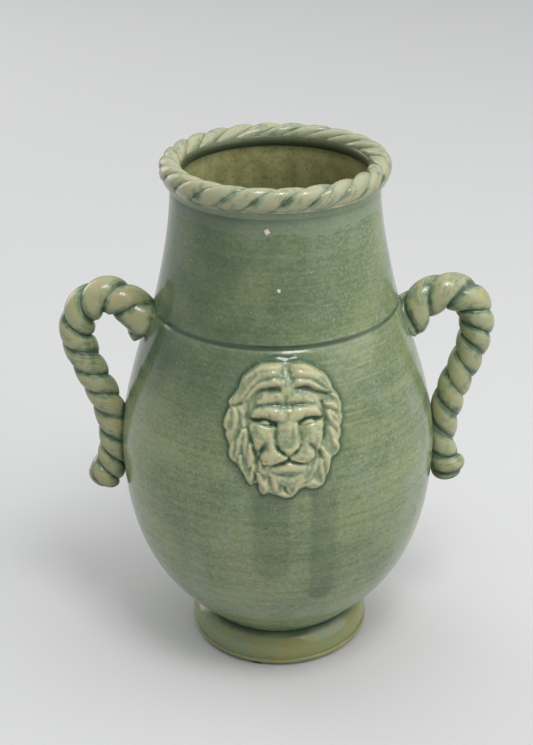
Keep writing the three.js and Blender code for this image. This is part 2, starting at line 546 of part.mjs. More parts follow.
// One strand of the rim's rope: it closes on itself after its turns round the mouth.
function rimStrand(number) {
  const count = RIM_TURNS * STEPS_PER_TURN;
  const start = radians(RIM_PHASE) + (2 * Math.PI * number) / RIM_STRANDS;
  const stations = [];
  for (let i = 0; i < count; i += 1) {
    const angle = (-2 * Math.PI * i) / count;
    const across = new THREE.Vector3(Math.sin(angle), -Math.cos(angle), 0);
    const centre = across.clone().multiplyScalar(rimRopeRing);
    centre.z = rimRopeHeight;
    stations.push({
      centre,
      across,
      beside: new THREE.Vector3(0, 0, RIM_ROPE_STRETCH),
      radius: RIM_ROPE_RADIUS,
      turn: start - (2 * Math.PI * i) / STEPS_PER_TURN,
    });
  }
  return strand(stations, RIM_STRANDS, true);
}

// The rope's radius along a handle: spread at its root in the wall, swollen and round at its tail.
function handleRadius(share, length) {
  const { smoothstep, lerp } = THREE.MathUtils;
  const toEnd = (1 - share) * length;
  const fromWall = Math.max(share * length - ROOT_LENGTH, 0);
  const full = lerp(HANDLE_TOP_RADIUS, HANDLE_TAIL_RADIUS, smoothstep(share, ...HANDLE_TAPER))
    + ROOT_SPREAD * Math.exp(-fromWall / ROOT_REACH)
    + TAIL_SPREAD * (1 - smoothstep(toEnd, TAIL_ROUNDING, TAIL_REACH));
  const closing = Math.max(1 - toEnd / TAIL_ROUNDING, 0);
  return full * Math.sqrt(1 - (1 - TAIL_END ** 2) * closing ** 2);
}

// One strand of a handle, before the body is cut away from it.
function handleStrand(handle, number) {
  const route = new THREE.CatmullRomCurve3(
    handle.route.map(([out, drop]) => {
      const height = seamHeight - drop;
      return new THREE.Vector3(handle.side * (outerRadius(height) + out), 0, height);
    }),
  );
  const length = route.getLength();
  const count = Math.round((length / HANDLE_LAY) * STEPS_PER_TURN);
  const turnAt = lineReader(handle.twist.map(([along, degrees]) => at(degrees, along)));
  const beside = new THREE.Vector3(0, 1, 0);
  const stations = [];
  for (let i = 0; i <= count; i += 1) {
    const share = i / count;
    const along = route.getTangentAt(share);
    const start = (2 * Math.PI * number) / HANDLE_STRANDS;
    stations.push({
      centre: route.getPointAt(share),
      across: new THREE.Vector3().crossVectors(beside, along),
      beside,
      radius: handleRadius(share, length),
      turn: start + radians(turnAt(share * length)),
    });
  }
  return strand(stations, HANDLE_STRANDS, false);
}

// Closed solid of a geometry, for cutting.
function solidOf(geometry) {
  const bare = geometry.clone();
  bare.deleteAttribute('normal');
  bare.deleteAttribute('uv');
  const merged = mergeVertices(bare, MERGE_TOLERANCE);
  const corners = merged.index.array;
  const triVerts = [];
  for (let i = 0; i < corners.length; i += 3) {
    const [a, b, c] = [corners[i], corners[i + 1], corners[i + 2]];
    if (a !== b && b !== c && c !== a) {
      triVerts.push(a, b, c);
    }
  }
  const vertProperties = merged.attributes.position.array;
  const mesh = new wasm.Mesh({ numProp: 3, vertProperties, triVerts: new Uint32Array(triVerts) });
  return new wasm.Manifold(mesh);
}

function geometryOf(solid) {
  const mesh = solid.getMesh();
  const geometry = new THREE.BufferGeometry();
  geometry.setAttribute('position', new THREE.Float32BufferAttribute(mesh.vertProperties, 3));
  geometry.setIndex([...mesh.triVerts]);
  geometry.computeVertexNormals();
  return geometry;
}

// The whole outside of the body, one joint's gap larger, to seat the handles on.
function bodySeat() {
  const lower = lowerLine().getSpacedPoints(2 * BODY_STEPS);
  const upper = upperLine().getSpacedPoints(NECK_STEPS);
  const outside = inset([...lower, ...upper.slice(1)], -SLIP_GAP);
  return turned([at(0, outside[0].y), ...outside, at(0, outside[outside.length - 1].y)]);
}

// The nearest place on a stroke: how far off it, in half widths, and the stroke's height there.
function strokeAt(stroke, across, up) {
  const { clamp, lerp } = THREE.MathUtils;
  let nearest = { off: Infinity, height: 0 };
  for (let i = 1; i < stroke.length; i += 1) {
    const [x, y, width, height] = stroke[i - 1];
    const [nextX, nextY, nextWidth, nextHeight] = stroke[i];
    const runX = nextX - x;
    const runY = nextY - y;
    const along = ((across - x) * runX + (up - y) * runY) / (runX * runX + runY * runY);
    const share = clamp(along, 0, 1);
    const off = Math.hypot(across - x - runX * share, up - y - runY * share) / lerp(width, nextWidth, share);
    if (off < nearest.off) {
      nearest = { off, height: lerp(height, nextHeight, share) };
    }
  }
  return nearest;
}

// Height of the mask's relief above the body, at a place across and up from its centre.
function relief(across, up) {
  const { lerp, smoothstep } = THREE.MathUtils;
  const face = strokeAt(FACE_SWELL, across, up);
  const swell = lerp(MASK_BODY, face.height, Math.max(1 - face.off ** 4, 0));
  let height = swell;
  for (const stroke of MANE_LOCKS) {
    const lock = strokeAt(stroke, across, up);
    height = Math.max(height, lerp(MASK_EDGE, lock.height, Math.sqrt(Math.max(1 - lock.off ** 2, 0))));
  }
  for (const stroke of FACE_FORMS) {
    const form = strokeAt(stroke, across, up);
    height = Math.max(height, lerp(swell, form.height, Math.max(1 - form.off ** 2, 0)));
  }
  for (const stroke of FACE_HOLLOWS) {
    const hollow = strokeAt(stroke, across, up);
    height -= hollow.height * Math.exp(-(hollow.off ** 2));
  }
  const parting = strokeAt(PARTING, across, up);
  height = lerp(parting.height, height, Math.min(parting.off ** 4, 1));
  for (const stroke of EYES) {
    const eye = strokeAt(stroke, across, up);
    height = Math.max(height, lerp(MASK_EDGE, eye.height, Math.sqrt(Math.max(1 - eye.off ** 2, 0))));
  }
  const share = Math.hypot(across, up) / maskOutlineRadius(Math.atan2(up, across));
  return lerp(height, MASK_EDGE, smoothstep(share, FORMS_FALL, 1));
}

function place(angle, distance) {
  return new THREE.Vector3(distance * Math.cos(angle), distance * Math.sin(angle), 0);
}

const maskOutline = new THREE.CatmullRomCurve3(
  MASK_OUTLINE.map(([across, up]) => new THREE.Vector3(across, up, 0)),
  true,
).getSpacedPoints(LINE_SAMPLES);

function maskOutlineRadius(angle) {
  const heading = new THREE.Vector3(Math.cos(angle), Math.sin(angle), 0);
  let best = maskOutline[0];
  for (const point of maskOutline) {
    if (point.dot(heading) / point.length() > best.dot(heading) / best.length()) {
      best = point;
    }
  }
  return best.length();
}

// A point at a height square off the body's face, at a place across and up from the mask's centre.
function onBelly(across, up, height) {
  const z = seamHeight - MASK_DROP + up;
  const radius = outerRadius(z);
  const fall = outerRadius(z - SLOPE_STEP) - outerRadius(z + SLOPE_STEP);
  const lean = Math.atan(fall / (2 * SLOPE_STEP));
  const angle = across / radius;
  const reach = radius + height * Math.cos(lean);
  return new THREE.Vector3(reach * Math.sin(angle), -reach * Math.cos(angle), z + height * Math.sin(lean));
}

// Mask: a grid drawn out to the outline in front, rooted in the body, which is then cut away behind it.
function lionMask() {
  const across = MASK_CELLS + 1;
  const front = [];
  const root = [];
  for (let j = 0; j < across; j += 1) {
    for (let i = 0; i < across; i += 1) {
      const x = (2 * i) / MASK_CELLS - 1;
      const y = (2 * j) / MASK_CELLS - 1;
      const spread = new THREE.Vector2(x * Math.sqrt(1 - (y * y) / 2), y * Math.sqrt(1 - (x * x) / 2));
      const angle = Math.atan2(spread.y, spread.x);
      const spot = place(angle, spread.length() * maskOutlineRadius(angle));
      front.push(onBelly(spot.x, spot.y, relief(spot.x, spot.y)));
      root.push(onBelly(spot.x, spot.y, -MASK_ROOT));
    }
  }
  const border = [];
  for (let i = 0; i < MASK_CELLS; i += 1) {
    border.push(i);
  }
  for (let j = 0; j < MASK_CELLS; j += 1) {
    border.push(j * across + MASK_CELLS);
  }
  for (let i = MASK_CELLS; i > 0; i -= 1) {
    border.push(MASK_CELLS * across + i);
  }
  for (let j = MASK_CELLS; j > 0; j -= 1) {
    border.push(j * across);
  }
  const vertices = [...front, ...border.map((k) => root[k]), onBelly(0, 0, -2 * MASK_ROOT)];
  const last = vertices.length - 1;
  const index = [];
  for (let j = 0; j < MASK_CELLS; j += 1) {
    for (let i = 0; i < MASK_CELLS; i += 1) {
      const a = j * across + i;
      const b = a + across;
      index.push(a, a + 1, b + 1, a, b + 1, b);
    }
  }
  for (let k = 0; k < border.length; k += 1) {
    const next = (k + 1) % border.length;
    const low = front.length + k;
    const lowNext = front.length + next;
    index.push(border[k], low, lowNext, border[k], lowNext, border[next]);
    index.push(last, lowNext, low);
  }
  const geometry = new THREE.BufferGeometry();
  geometry.setFromPoints(vertices);
  geometry.setIndex(index);
  return geometry;
}

function feltPad() {
  const geometry = new THREE.CylinderGeometry(PAD_RADIUS, PAD_RADIUS, PAD_THICKNESS, PAD_SIDES);
  geometry.rotateX(Math.PI / 2);
  return geometry;
}

const urn = new THREE.Group();

function addPiece(name, geometry, finish) {
  const mesh = new THREE.Mesh(geometry, new THREE.MeshStandardMaterial(finish));
  mesh.name = name;
  urn.add(mesh);
  return mesh;
}

addPiece('lower_body', lowerBody(), GLAZE);
addPiece('upper_body', upperBody(), GLAZE);
addPiece('foot_ring', footRing(), FOOT_GLAZE);
addPiece('rim_collar', rimCollar(), GLAZE);

for (let number = 0; number < RIM_STRANDS; number += 1) {
  addPiece(`rim_strand_${number + 1}`, rimStrand(number), ROPE_GLAZE);
}

const seat = solidOf(bodySeat());
for (const handle of HANDLES) {
  for (let number = 0; number < HANDLE_STRANDS; number += 1) {
    const fitted = solidOf(handleStrand(handle, number)).subtract(seat);
    addPiece(`${handle.name}_strand_${number + 1}`, geometryOf(fitted), ROPE_GLAZE);
  }
}

addPiece('lion_mask', geometryOf(solidOf(lionMask()).subtract(seat)), ROPE_GLAZE);

for (let number = 0; number < PAD_COUNT; number += 1) {
  const pad = addPiece(`felt_pad_${number + 1}`, feltPad(), FELT);
  const angle = radians(FIRST_PAD_ANGLE + (360 * number) / PAD_COUNT);
  const middle = FOOT_RADIUS - FOOT_BASE_WIDTH / 2;
  pad.position.set(middle * Math.sin(angle), -middle * Math.cos(angle), PAD_THICKNESS / 2);
}

export default urn;
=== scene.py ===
"""A glazed stoneware urn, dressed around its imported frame.

Thrown body, turned foot, rope-twist rim and handles and a pressed lion mask, all under one green glaze.
"""

from __future__ import annotations

import logging
import math
from dataclasses import dataclass
from enum import Enum
from functools import cache

import bmesh
import bpy
import numpy as np
from mathutils import Matrix, Vector
from mathutils.geometry import interpolate_bezier

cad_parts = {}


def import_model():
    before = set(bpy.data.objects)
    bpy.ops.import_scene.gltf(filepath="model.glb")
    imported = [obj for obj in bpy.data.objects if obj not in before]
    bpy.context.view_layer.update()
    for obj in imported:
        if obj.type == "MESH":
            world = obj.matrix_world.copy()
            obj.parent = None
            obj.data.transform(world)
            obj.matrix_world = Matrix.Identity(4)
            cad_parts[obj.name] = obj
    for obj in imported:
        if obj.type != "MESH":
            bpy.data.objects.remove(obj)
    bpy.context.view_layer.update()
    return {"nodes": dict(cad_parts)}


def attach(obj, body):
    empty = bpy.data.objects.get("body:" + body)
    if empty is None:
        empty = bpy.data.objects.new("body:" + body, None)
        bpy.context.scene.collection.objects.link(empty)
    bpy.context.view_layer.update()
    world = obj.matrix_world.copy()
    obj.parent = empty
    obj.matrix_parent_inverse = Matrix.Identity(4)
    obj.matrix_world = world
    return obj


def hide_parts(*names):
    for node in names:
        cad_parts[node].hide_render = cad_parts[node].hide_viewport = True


Tree = bpy.types.NodeTree
Socket = bpy.types.NodeSocket
Material = bpy.types.Material
Piece = bpy.types.Object
Mesh = bmesh.types.BMesh
Painted = tuple[Socket, list[tuple[Socket, float]]]

LOG = logging.getLogger("urn")
MM = 0.001
BODY = "root"
# Vertex attribute: how deep the glaze pools and, on some pieces, how much shade is painted there.
POOL_AND_SHADE = "pool"
ACROSS = "across"
CREASE = math.radians(60)
TOLERANCE = 0.002

THIN = "#9AA27C"
HAZY = "#85937B"
# Dark green of pooled glaze, also used for the shade painted on the body.
POOLED_AND_SHADE = "#3D523F"
CHIPPED = "#DAD6BC"


class Slot(Enum):
    """The record's material slots."""

    BODY = "body_glaze"
    ROPE = "rope_glaze"
    MASK = "mask_glaze"
    FOOT = "foot_glaze"
    FELT = "felt"


def linear(colour: str) -> tuple[float, float, float, float]:
    """Turns an sRGB hex colour to linear light.

    Args:
        colour: Six hex digits after a hash.

    Returns:
        Linear red, green and blue, and an alpha of one.
    """
    parts = [int(colour[i : i + 2], 16) / 255 for i in (1, 3, 5)]
    light = [c / 12.92 if c <= 0.04045 else ((c + 0.055) / 1.055) ** 2.4 for c in parts]
    return (*light, 1.0)


def add(tree: Tree, kind: str, inputs: dict | None = None, **settings: object) -> bpy.types.Node:
    """Adds a node with its settings and links.

    Args:
        tree: The material's node tree.
        kind: The node's type.
        inputs: Values or linked sockets, by input name or number.
        settings: The node's own properties.

    Returns:
        The new node.
    """
    node = tree.nodes.new(kind)
    for name, value in settings.items():
        setattr(node, name, value)
    for key, value in (inputs or {}).items():
        if isinstance(value, Socket):
            tree.links.new(value, node.inputs[key])
        else:
            node.inputs[key].default_value = value
    return node


def smoothstep(low: float, high: float, value: np.ndarray) -> np.ndarray:
    """Rises smoothly from 0 at low to 1 at high."""
    share = np.clip((value - low) / (high - low), 0.0, 1.0)
    return share * share * (3 - 2 * share)


def start_material(name: str) -> tuple[Material, Tree, bpy.types.Node]:
    """Starts a node material.

    Args:
        name: The material's name.

    Returns:
        The material, its tree and its shader.
    """
    material = bpy.data.materials.new(name)
    material.use_nodes = True
    tree = material.node_tree
    return material, tree, tree.nodes["Principled BSDF"]


def grain(tree: Tree, level: float, up: float, detail: float) -> Socket:
    """Lays an even pattern over a piece, drawn out along the level or upright.

    Args:
        tree: The material's node tree.
        level: Its grain along the level, in mm.
        up: Its grain upright, in mm.
        detail: How many finer grains lie over it.

    Returns:
        Values about zero.
    """
    place = add(tree, "ShaderNodeTexCoord").outputs["Object"]
    scale = (1 / (level * MM), 1 / (level * MM), 1 / (up * MM))
    drawn = add(tree, "ShaderNodeMapping", {"Vector": place, "Scale": scale}).outputs[0]
    value = add(tree, "ShaderNodeTexNoise", {"Vector": drawn, "Scale": 1.0, "Detail": detail}).outputs["Fac"]
    return add(tree, "ShaderNodeMath", {0: value, 1: 0.5}, operation="SUBTRACT").outputs[0]


@dataclass(frozen=True)
class Coat:
    """A colour laid over others by a pattern.

    It begins where the pattern is low, and where that is high it hides as much of them as most says.
    """

    colour: str
    low: float = 0.0
    high: float = 1.0
    most: float = 1.0

    def over(self, tree: Tree, ground: object, pattern: Socket, unit: float = 1.0) -> Socket:
        """Lays the coat over a ground.

        Args:
            tree: The material's node tree.
            ground: The colour beneath, a value or a socket.
            pattern: What decides where the coat lies.
            unit: What its bounds are counted in.

        Returns:
            The colour.
        """
        low, high = self.low * unit, self.high * unit
        bounds = {"Value": pattern, "From Min": low, "From Max": high, "To Max": self.most}
        share = add(tree, "ShaderNodeMapRange", bounds, interpolation_type="SMOOTHSTEP").outputs[0]
        layers = {0: share, 6: ground, 7: linear(self.colour)}
        return add(tree, "ShaderNodeMix", layers, data_type="RGBA").outputs[2]


@dataclass(frozen=True, kw_only=True)
class Finish:
    """What a piece is finished with. Each kind paints its own colour and fine relief.

    strength says how much the relief counts, and sheen how hairy the surface is.
    """

    name: str
    roughness: float
    strength: float = 0.5
    sheen: float = 0.0

    @cache
    def material(self) -> Material:
        """Builds the node material, one for all the pieces that share it.

        Returns:
            The material.
        """
        material, tree, shader = start_material(self.name)
        colour, relief = self.paint(tree)
        normal = {}
        for pattern, height in relief:
            bump = {"Height": pattern, "Strength": self.strength, "Distance": height * MM, **normal}
            normal = {"Normal": add(tree, "ShaderNodeBump", bump).outputs[0]}
        tree.links.new(normal["Normal"], shader.inputs["Normal"])
        tree.links.new(colour, shader.inputs["Base Color"])
        shader.inputs["Roughness"].default_value = self.roughness
        shader.inputs["Sheen Weight"].default_value = self.sheen
        return material

    def paint(self, tree: Tree) -> Painted:
        """Lays the finish's colours.

        Args:
            tree: The material's node tree.

        Returns:
            The colour, and the patterns that the surface rises and falls by, each with its height in mm.
        """
        raise NotImplementedError


@dataclass(frozen=True)
class Mark:
    """A chip or a dark spot in the body's glaze: degrees round from the front, height and size in mm."""

    angle: float
    level: float
    size: float
    colour: str

    def middle(self) -> Vector:
        """Its place on the body, in metres."""
        front = Vector((0, -float(FORM.radius(self.level)), self.level))
        return Matrix.Rotation(math.radians(self.angle), 3, "Z") @ front * MM


@dataclass(frozen=True, kw_only=True)
class BodyGlaze(Finish):
    """Celadon glaze on thrown stoneware: glassy, ringed by throwing lines, darker where it pools or runs and
    where shade is painted in.

    Grains and reliefs are in mm, and a pair of grains runs along the level and upright. The curtain's bounds
    are heights and the speck's are distances, in mm. The bounds round a mark count in its size.
    """

    name: str = "Celadon glaze on thrown stoneware"
    usual: str = "#7F8B63"
    thick: Coat = Coat("#6C7C5A", -0.12, 0.12)
    hazy: Coat = Coat(HAZY, 0.0, 0.2, 0.5)
    rings: tuple[Coat, ...] = (Coat(THIN, -0.04, 0.2, 0.2), Coat(POOLED_AND_SHADE, 0.04, -0.2, 0.14))
    dashes: tuple[Coat, ...] = (Coat(THIN, -0.02, 0.22, 0.26), Coat(POOLED_AND_SHADE, 0.02, -0.22, 0.18))
    grits: tuple[Coat, ...] = (Coat(THIN, 0.0, 0.25, 0.42), Coat(POOLED_AND_SHADE, 0.0, -0.25, 0.32))
    curtain: Coat = Coat(HAZY, 321.0, 321.9, 0.55)
    pooled: Coat = Coat(POOLED_AND_SHADE)
    speck: Coat = Coat("#C9CDB8", 0.5, 0.25, 0.6)
    burnt: Coat = Coat("#6A5B3C", 1.3, 1.0, 0.6)
    mark_edge: tuple[float, float, float] = (1.0, 0.7, 0.9)
    marks: tuple[Mark, ...] = (
        Mark(-7.0, 323.6, 2.1, CHIPPED),
        Mark(-1.3, 288.0, 1.1, CHIPPED),
        Mark(-6.8, 141.3, 1.1, POOLED_AND_SHADE),
        Mark(0.3, 144.3, 0.7, POOLED_AND_SHADE),
    )
    roughness: float = 0.16
    ring: tuple[float, float] = (360.0, 2.8)
    dash: tuple[float, float] = (4.5, 2.2)
    grit: float = 1.7
    cloud: float = 42.0
    haze: tuple[float, float] = (24.0, 48.0)
    ripple: float = 20.0
    ring_height: float = 0.35
    ripple_height: float = 1.2
    hem: float = 26.0
    torn: float = 1.6
    speck_spacing: float = 8.0

    def paint(self, tree: Tree) -> Painted:
        """Lays the finish's colours.

        Args:
            tree: The material's node tree.

        Returns:
            The colour, and the patterns of its relief with their heights.
        """
        ring = grain(tree, *self.ring, 3.0)
        dash = grain(tree, *self.dash, 3.0)
        grit = grain(tree, self.grit, self.grit, 2.0)
        cloud = grain(tree, self.cloud, self.cloud, 4.0)
        haze = grain(tree, *self.haze, 3.0)
        ripple = grain(tree, self.ripple, self.ripple, 1.0)
        colour = self.thick.over(tree, linear(self.usual), cloud)
        colour = self.hazy.over(tree, colour, haze)
        for pattern, coats in ((ring, self.rings), (dash, self.dashes), (grit, self.grits)):
            for coat in coats:
                colour = coat.over(tree, colour, pattern)
        place = add(tree, "ShaderNodeTexCoord").outputs["Object"]
        height = add(tree, "ShaderNodeSeparateXYZ", {"Vector": place}).outputs["Z"]
        waved = {0: haze, 1: self.hem * MM, 2: height}
        hem = add(tree, "ShaderNodeMath", waved, operation="MULTIPLY_ADD").outputs[0]
        colour = self.curtain.over(tree, colour, hem, MM)
        # The pool attribute brings glaze depth and painted shade, both laid in the pooled colour.
        pool = add(tree, "ShaderNodeAttribute", attribute_name=POOL_AND_SHADE).outputs["Fac"]
        clouded = {0: cloud, 1: pool, 2: pool}
        depth = add(tree, "ShaderNodeMath", clouded, operation="MULTIPLY_ADD").outputs[0]
        colour = self.pooled.over(tree, colour, depth)
        spacing = {"Vector": place, "Scale": 1 / (self.speck_spacing * MM)}
        cells = add(tree, "ShaderNodeTexVoronoi", spacing).outputs["Distance"]
        colour = self.speck.over(tree, colour, cells, 1 / self.speck_spacing)
        for mark in self.marks:
            apart = {0: place, 1: mark.middle()}
            off = add(tree, "ShaderNodeVectorMath", apart, operation="DISTANCE").outputs["Value"]
            ragged = {0: grit, 1: self.torn * mark.size * MM, 2: off}
            off = add(tree, "ShaderNodeMath", ragged, operation="MULTIPLY_ADD").outputs[0]
            for coat in (self.burnt, Coat(mark.colour, *self.mark_edge)):
                colour = coat.over(tree, colour, off, mark.size * MM)
        return colour, [(ring, self.ring_height), (ripple, self.ripple_height)]


@dataclass(frozen=True, kw_only=True)
class ReliefGlaze(Finish):
    """The same glaze on modelled clay: it runs off the crests, which show buff, and pools green between them.
    The green also lays any shade painted on a piece.

    Grains are in mm. Where a piece is rolled, lines of flow follow it, and lines says how many lie between a
    strand's crest and its groove.
    """

    crest: str
    warm: str
    flank: str
    pooled: str
    warm_at: tuple[float, float, float] = (-0.15, 0.2, 0.9)
    flank_at: tuple[float, float] = (0.0, 0.5)
    pooled_at: tuple[float, float] = (0.45, 1.0)
    roughness: float = 0.15
    patch: float = 15.0
    fleck: float = 5.0
    drift: float = 1.6
    mottle: float = 0.8
    fleck_height: float = 0.3
    lines: float = 0.0
    line_length: float = 24.0
    line_height: float = 0.5
    flow: float = 1.5

    def paint(self, tree: Tree) -> Painted:
        """Lays the finish's colours.

        Args:
            tree: The material's node tree.

        Returns:
            The colour, and the patterns of its relief with their heights.
        """
        patch = grain(tree, self.patch, self.patch, 2.0)
        fleck = grain(tree, self.fleck, self.fleck, 3.0)
        depth = add(tree, "ShaderNodeAttribute", attribute_name=POOL_AND_SHADE).outputs["Fac"]
        uneven = [(fleck, self.mottle), (patch, self.drift)]
        relief = [(fleck, self.fleck_height)]
        tint = fleck
        if self.lines:
            line = self.flow_lines(tree)
            uneven.append((line, self.flow))
            relief.append((line, self.line_height))
            tint = add(tree, "ShaderNodeMath", {0: fleck, 1: line}, operation="SUBTRACT").outputs[0]
        for pattern, weight in uneven:
            more = {0: pattern, 1: weight, 2: depth}
            depth = add(tree, "ShaderNodeMath", more, operation="MULTIPLY_ADD").outputs[0]
        colour = Coat(self.warm, *self.warm_at).over(tree, linear(self.crest), tint)
        colour = Coat(self.flank, *self.flank_at).over(tree, colour, depth)
        return Coat(self.pooled, *self.pooled_at).over(tree, colour, depth), relief

    def flow_lines(self, tree: Tree) -> Socket:
        """Fine lines that follow a rolled strand.

        Args:
            tree: The material's node tree.

        Returns:
            Values about zero.
        """
        place = add(tree, "ShaderNodeTexCoord").outputs["Object"]
        across = add(tree, "ShaderNodeAttribute", attribute_name=ACROSS).outputs["Fac"]
        spread = {0: across, 1: self.lines * self.line_length * MM}
        beside = add(tree, "ShaderNodeMath", spread, operation="MULTIPLY").outputs[0]
        drawn = {"Vector": place, "W": beside, "Scale": 1 / (self.line_length * MM), "Detail": 3.0}
        line = add(tree, "ShaderNodeTexNoise", drawn, noise_dimensions="4D").outputs["Fac"]
        return add(tree, "ShaderNodeMath", {0: line, 1: 0.5}, operation="SUBTRACT").outputs[0]


RIM_GLAZE = ReliefGlaze(
    name="Celadon glaze on a rope-twisted rim",
    crest="#9BA084",
    warm="#A8A078",
    flank="#7F8C70",
    pooled="#53624D",
    patch=11.0,
    drift=1.8,
    mottle=1.4,
    lines=5.0,
)
# Its pooled green also shows the shade painted on the handles' undersides and where they meet the body.
HANDLE_GLAZE = ReliefGlaze(
    name="Celadon glaze on rope-twisted handles",
    crest="#9DA37F",
    warm="#A59D71",
    flank="#7F8D6B",
    pooled="#53654F",
    patch=14.0,
    drift=2.0,
    mottle=1.6,
    lines=9.0,
)
MASK_GLAZE = ReliefGlaze(
    name="Celadon glaze on a pressed relief",
    crest="#B1B38C",
    warm="#B9AA84",
    flank="#7E8D6D",
    pooled="#415840",
    patch=7.0,
    fleck=2.6,
    drift=1.2,
)


@dataclass(frozen=True, kw_only=True)
class FootGlaze(Finish):
    """Thinner, yellower glaze on the turned foot, pooled and painted in shade under the belly, and wiped off
    the standing edge.

    Grains, and the heights where it pools and is painted in shade and where it is wiped off, are in mm.
    """

    name: str = "Celadon glaze on a turned foot"
    green: str = "#7F8C69"
    olive: Coat = Coat("#8B8D58", -0.12, 0.1)
    rust: Coat = Coat("#86754A", 0.02, 0.22, 0.35)
    # Darker just under the belly: glaze pooled there, and painted shade from the belly's overhang.
    pooled: Coat = Coat("#4A5B48", 19.2, 23.2)
    clay: Coat = Coat("#8A6A4A", 3.0, 2.2)
    roughness: float = 0.17
    patch: float = 20.0
    fleck: float = 5.0
    hem: float = 4.0
    patch_height: float = 0.5

    def paint(self, tree: Tree) -> Painted:
        """Lays the finish's colours.

        Args:
            tree: The material's node tree.

        Returns:
            The colour, and the patterns of its relief with their heights.
        """
        patch = grain(tree, self.patch, self.patch, 3.0)
        fleck = grain(tree, self.fleck, self.fleck, 3.0)
        place = add(tree, "ShaderNodeTexCoord").outputs["Object"]
        height = add(tree, "ShaderNodeSeparateXYZ", {"Vector": place}).outputs["Z"]
        waved = {0: patch, 1: self.hem * MM, 2: height}
        level = add(tree, "ShaderNodeMath", waved, operation="MULTIPLY_ADD").outputs[0]
        colour = self.olive.over(tree, linear(self.green), patch)
        colour = self.rust.over(tree, colour, fleck)
        # Pooled glaze and painted shade just under the belly.
        colour = self.pooled.over(tree, colour, level, MM)
        return self.clay.over(tree, colour, height, MM), [(patch, self.patch_height)]


@dataclass(frozen=True, kw_only=True)
class InsideGlaze(Finish):
    """The inside: a thin olive glaze with the clay's warmth showing through and small pits. Grains in mm."""

    name: str = "Thin olive glaze inside"
    olive: str = "#A5A678"
    brown: Coat = Coat("#8C8858", -0.25, 0.25)
    pitted: Coat = Coat("#344230", 0.03, 0.22, 0.45)
    # The dark band laid down the inner face of the lip.
    pooled: Coat = Coat("#344230")
    roughness: float = 0.3
    patch: float = 10.0
    pit: float = 2.0
    pit_height: float = 0.15

    def paint(self, tree: Tree) -> Painted:
        """Lays the finish's colours.

        Args:
            tree: The material's node tree.

        Returns:
            The colour, and the patterns of its relief with their heights.
        """
        patch = grain(tree, self.patch, self.patch, 5.0)
        pit = grain(tree, self.pit, self.pit, 2.0)
        pool = add(tree, "ShaderNodeAttribute", attribute_name=POOL_AND_SHADE).outputs["Fac"]
        colour = self.brown.over(tree, linear(self.olive), patch)
        colour = self.pitted.over(tree, colour, pit)
        return self.pooled.over(tree, colour, pool), [(pit, self.pit_height)]


@dataclass(frozen=True, kw_only=True)
class Felt(Finish):
    """Pressed wool felt: black, matt and slightly hairy. Its grain and relief are in mm."""

    name: str = "Black wool felt"
    black: str = "#191817"
    grey: Coat = Coat("#2E2B29", -0.3, 0.3)
    fibre: float = 0.6
    fibre_height: float = 0.3
    strength: float = 0.8
    roughness: float = 0.95
    sheen: float = 0.3

    def paint(self, tree: Tree) -> Painted:
        """Lays the finish's colours.

        Args:
            tree: The material's node tree.

        Returns:
            The colour, and the patterns of its relief with their heights.
        """
        fibre = grain(tree, self.fibre, self.fibre, 4.0)
        return self.grey.over(tree, linear(self.black), fibre), [(fibre, self.fibre_height)]


def curve(points: list[tuple[float, float]], count: int) -> list[Vector]:
    """Samples a cubic curve, or a quadratic one given by three points.

    Args:
        points: Radius and height of the ends and of the points that pull between them, in mm.
        count: How many points to return.

    Returns:
        Points along the curve, in mm.
    """
    ends = [Vector((x, 0.0, z)) for x, z in points]
    if len(ends) == 3:
        start, pull, end = ends
        ends = [start, start.lerp(pull, 2 / 3), end.lerp(pull, 2 / 3), end]
    return interpolate_bezier(*ends, count)


def arc(centre: tuple[float, float], radius: float, start: float, end: float, count: int) -> list[Vector]:
    """Samples a round stretch of a profile.

    Args:
        centre: Radius and height of its centre, in mm.
        radius: Its radius, in mm.
        start: First angle, in degrees from outwards.
        end: Last angle, in degrees.
        count: How many points to return.

    Returns:
        Points along the arc, in mm.
    """
    angles = np.radians(np.linspace(start, end, count))
    return [Vector((centre[0] + radius * math.cos(a), 0.0, centre[1] + radius * math.sin(a))) for a in angles]


def turned(profile: list[Vector], steps: int, closed: bool) -> Mesh:
    """Turns a profile about the urn's axis.

    Args:
        profile: Points in mm, run from the bottom outwards and up.
        steps: Faces round the axis.
        closed: Whether the last point joins the first.

    Returns:
        The turned mesh, in metres.
    """
    bm = bmesh.new()
    verts = [bm.verts.new(point * MM) for point in profile]
    pairs = list(zip(verts, verts[1:]))
    if closed:
        pairs.append((verts[-1], verts[0]))
    edges = [bm.edges.new(pair) for pair in pairs]
    bmesh.ops.spin(
        bm,
        geom=verts + edges,
        cent=(0, 0, 0),
        axis=(0, 0, 1),
        angle=2 * math.pi,
        steps=steps,
        use_merge=True,
    )
    bmesh.ops.remove_doubles(bm, verts=bm.verts, dist=TOLERANCE * MM)
    bmesh.ops.recalc_face_normals(bm, faces=bm.faces)
    return bm


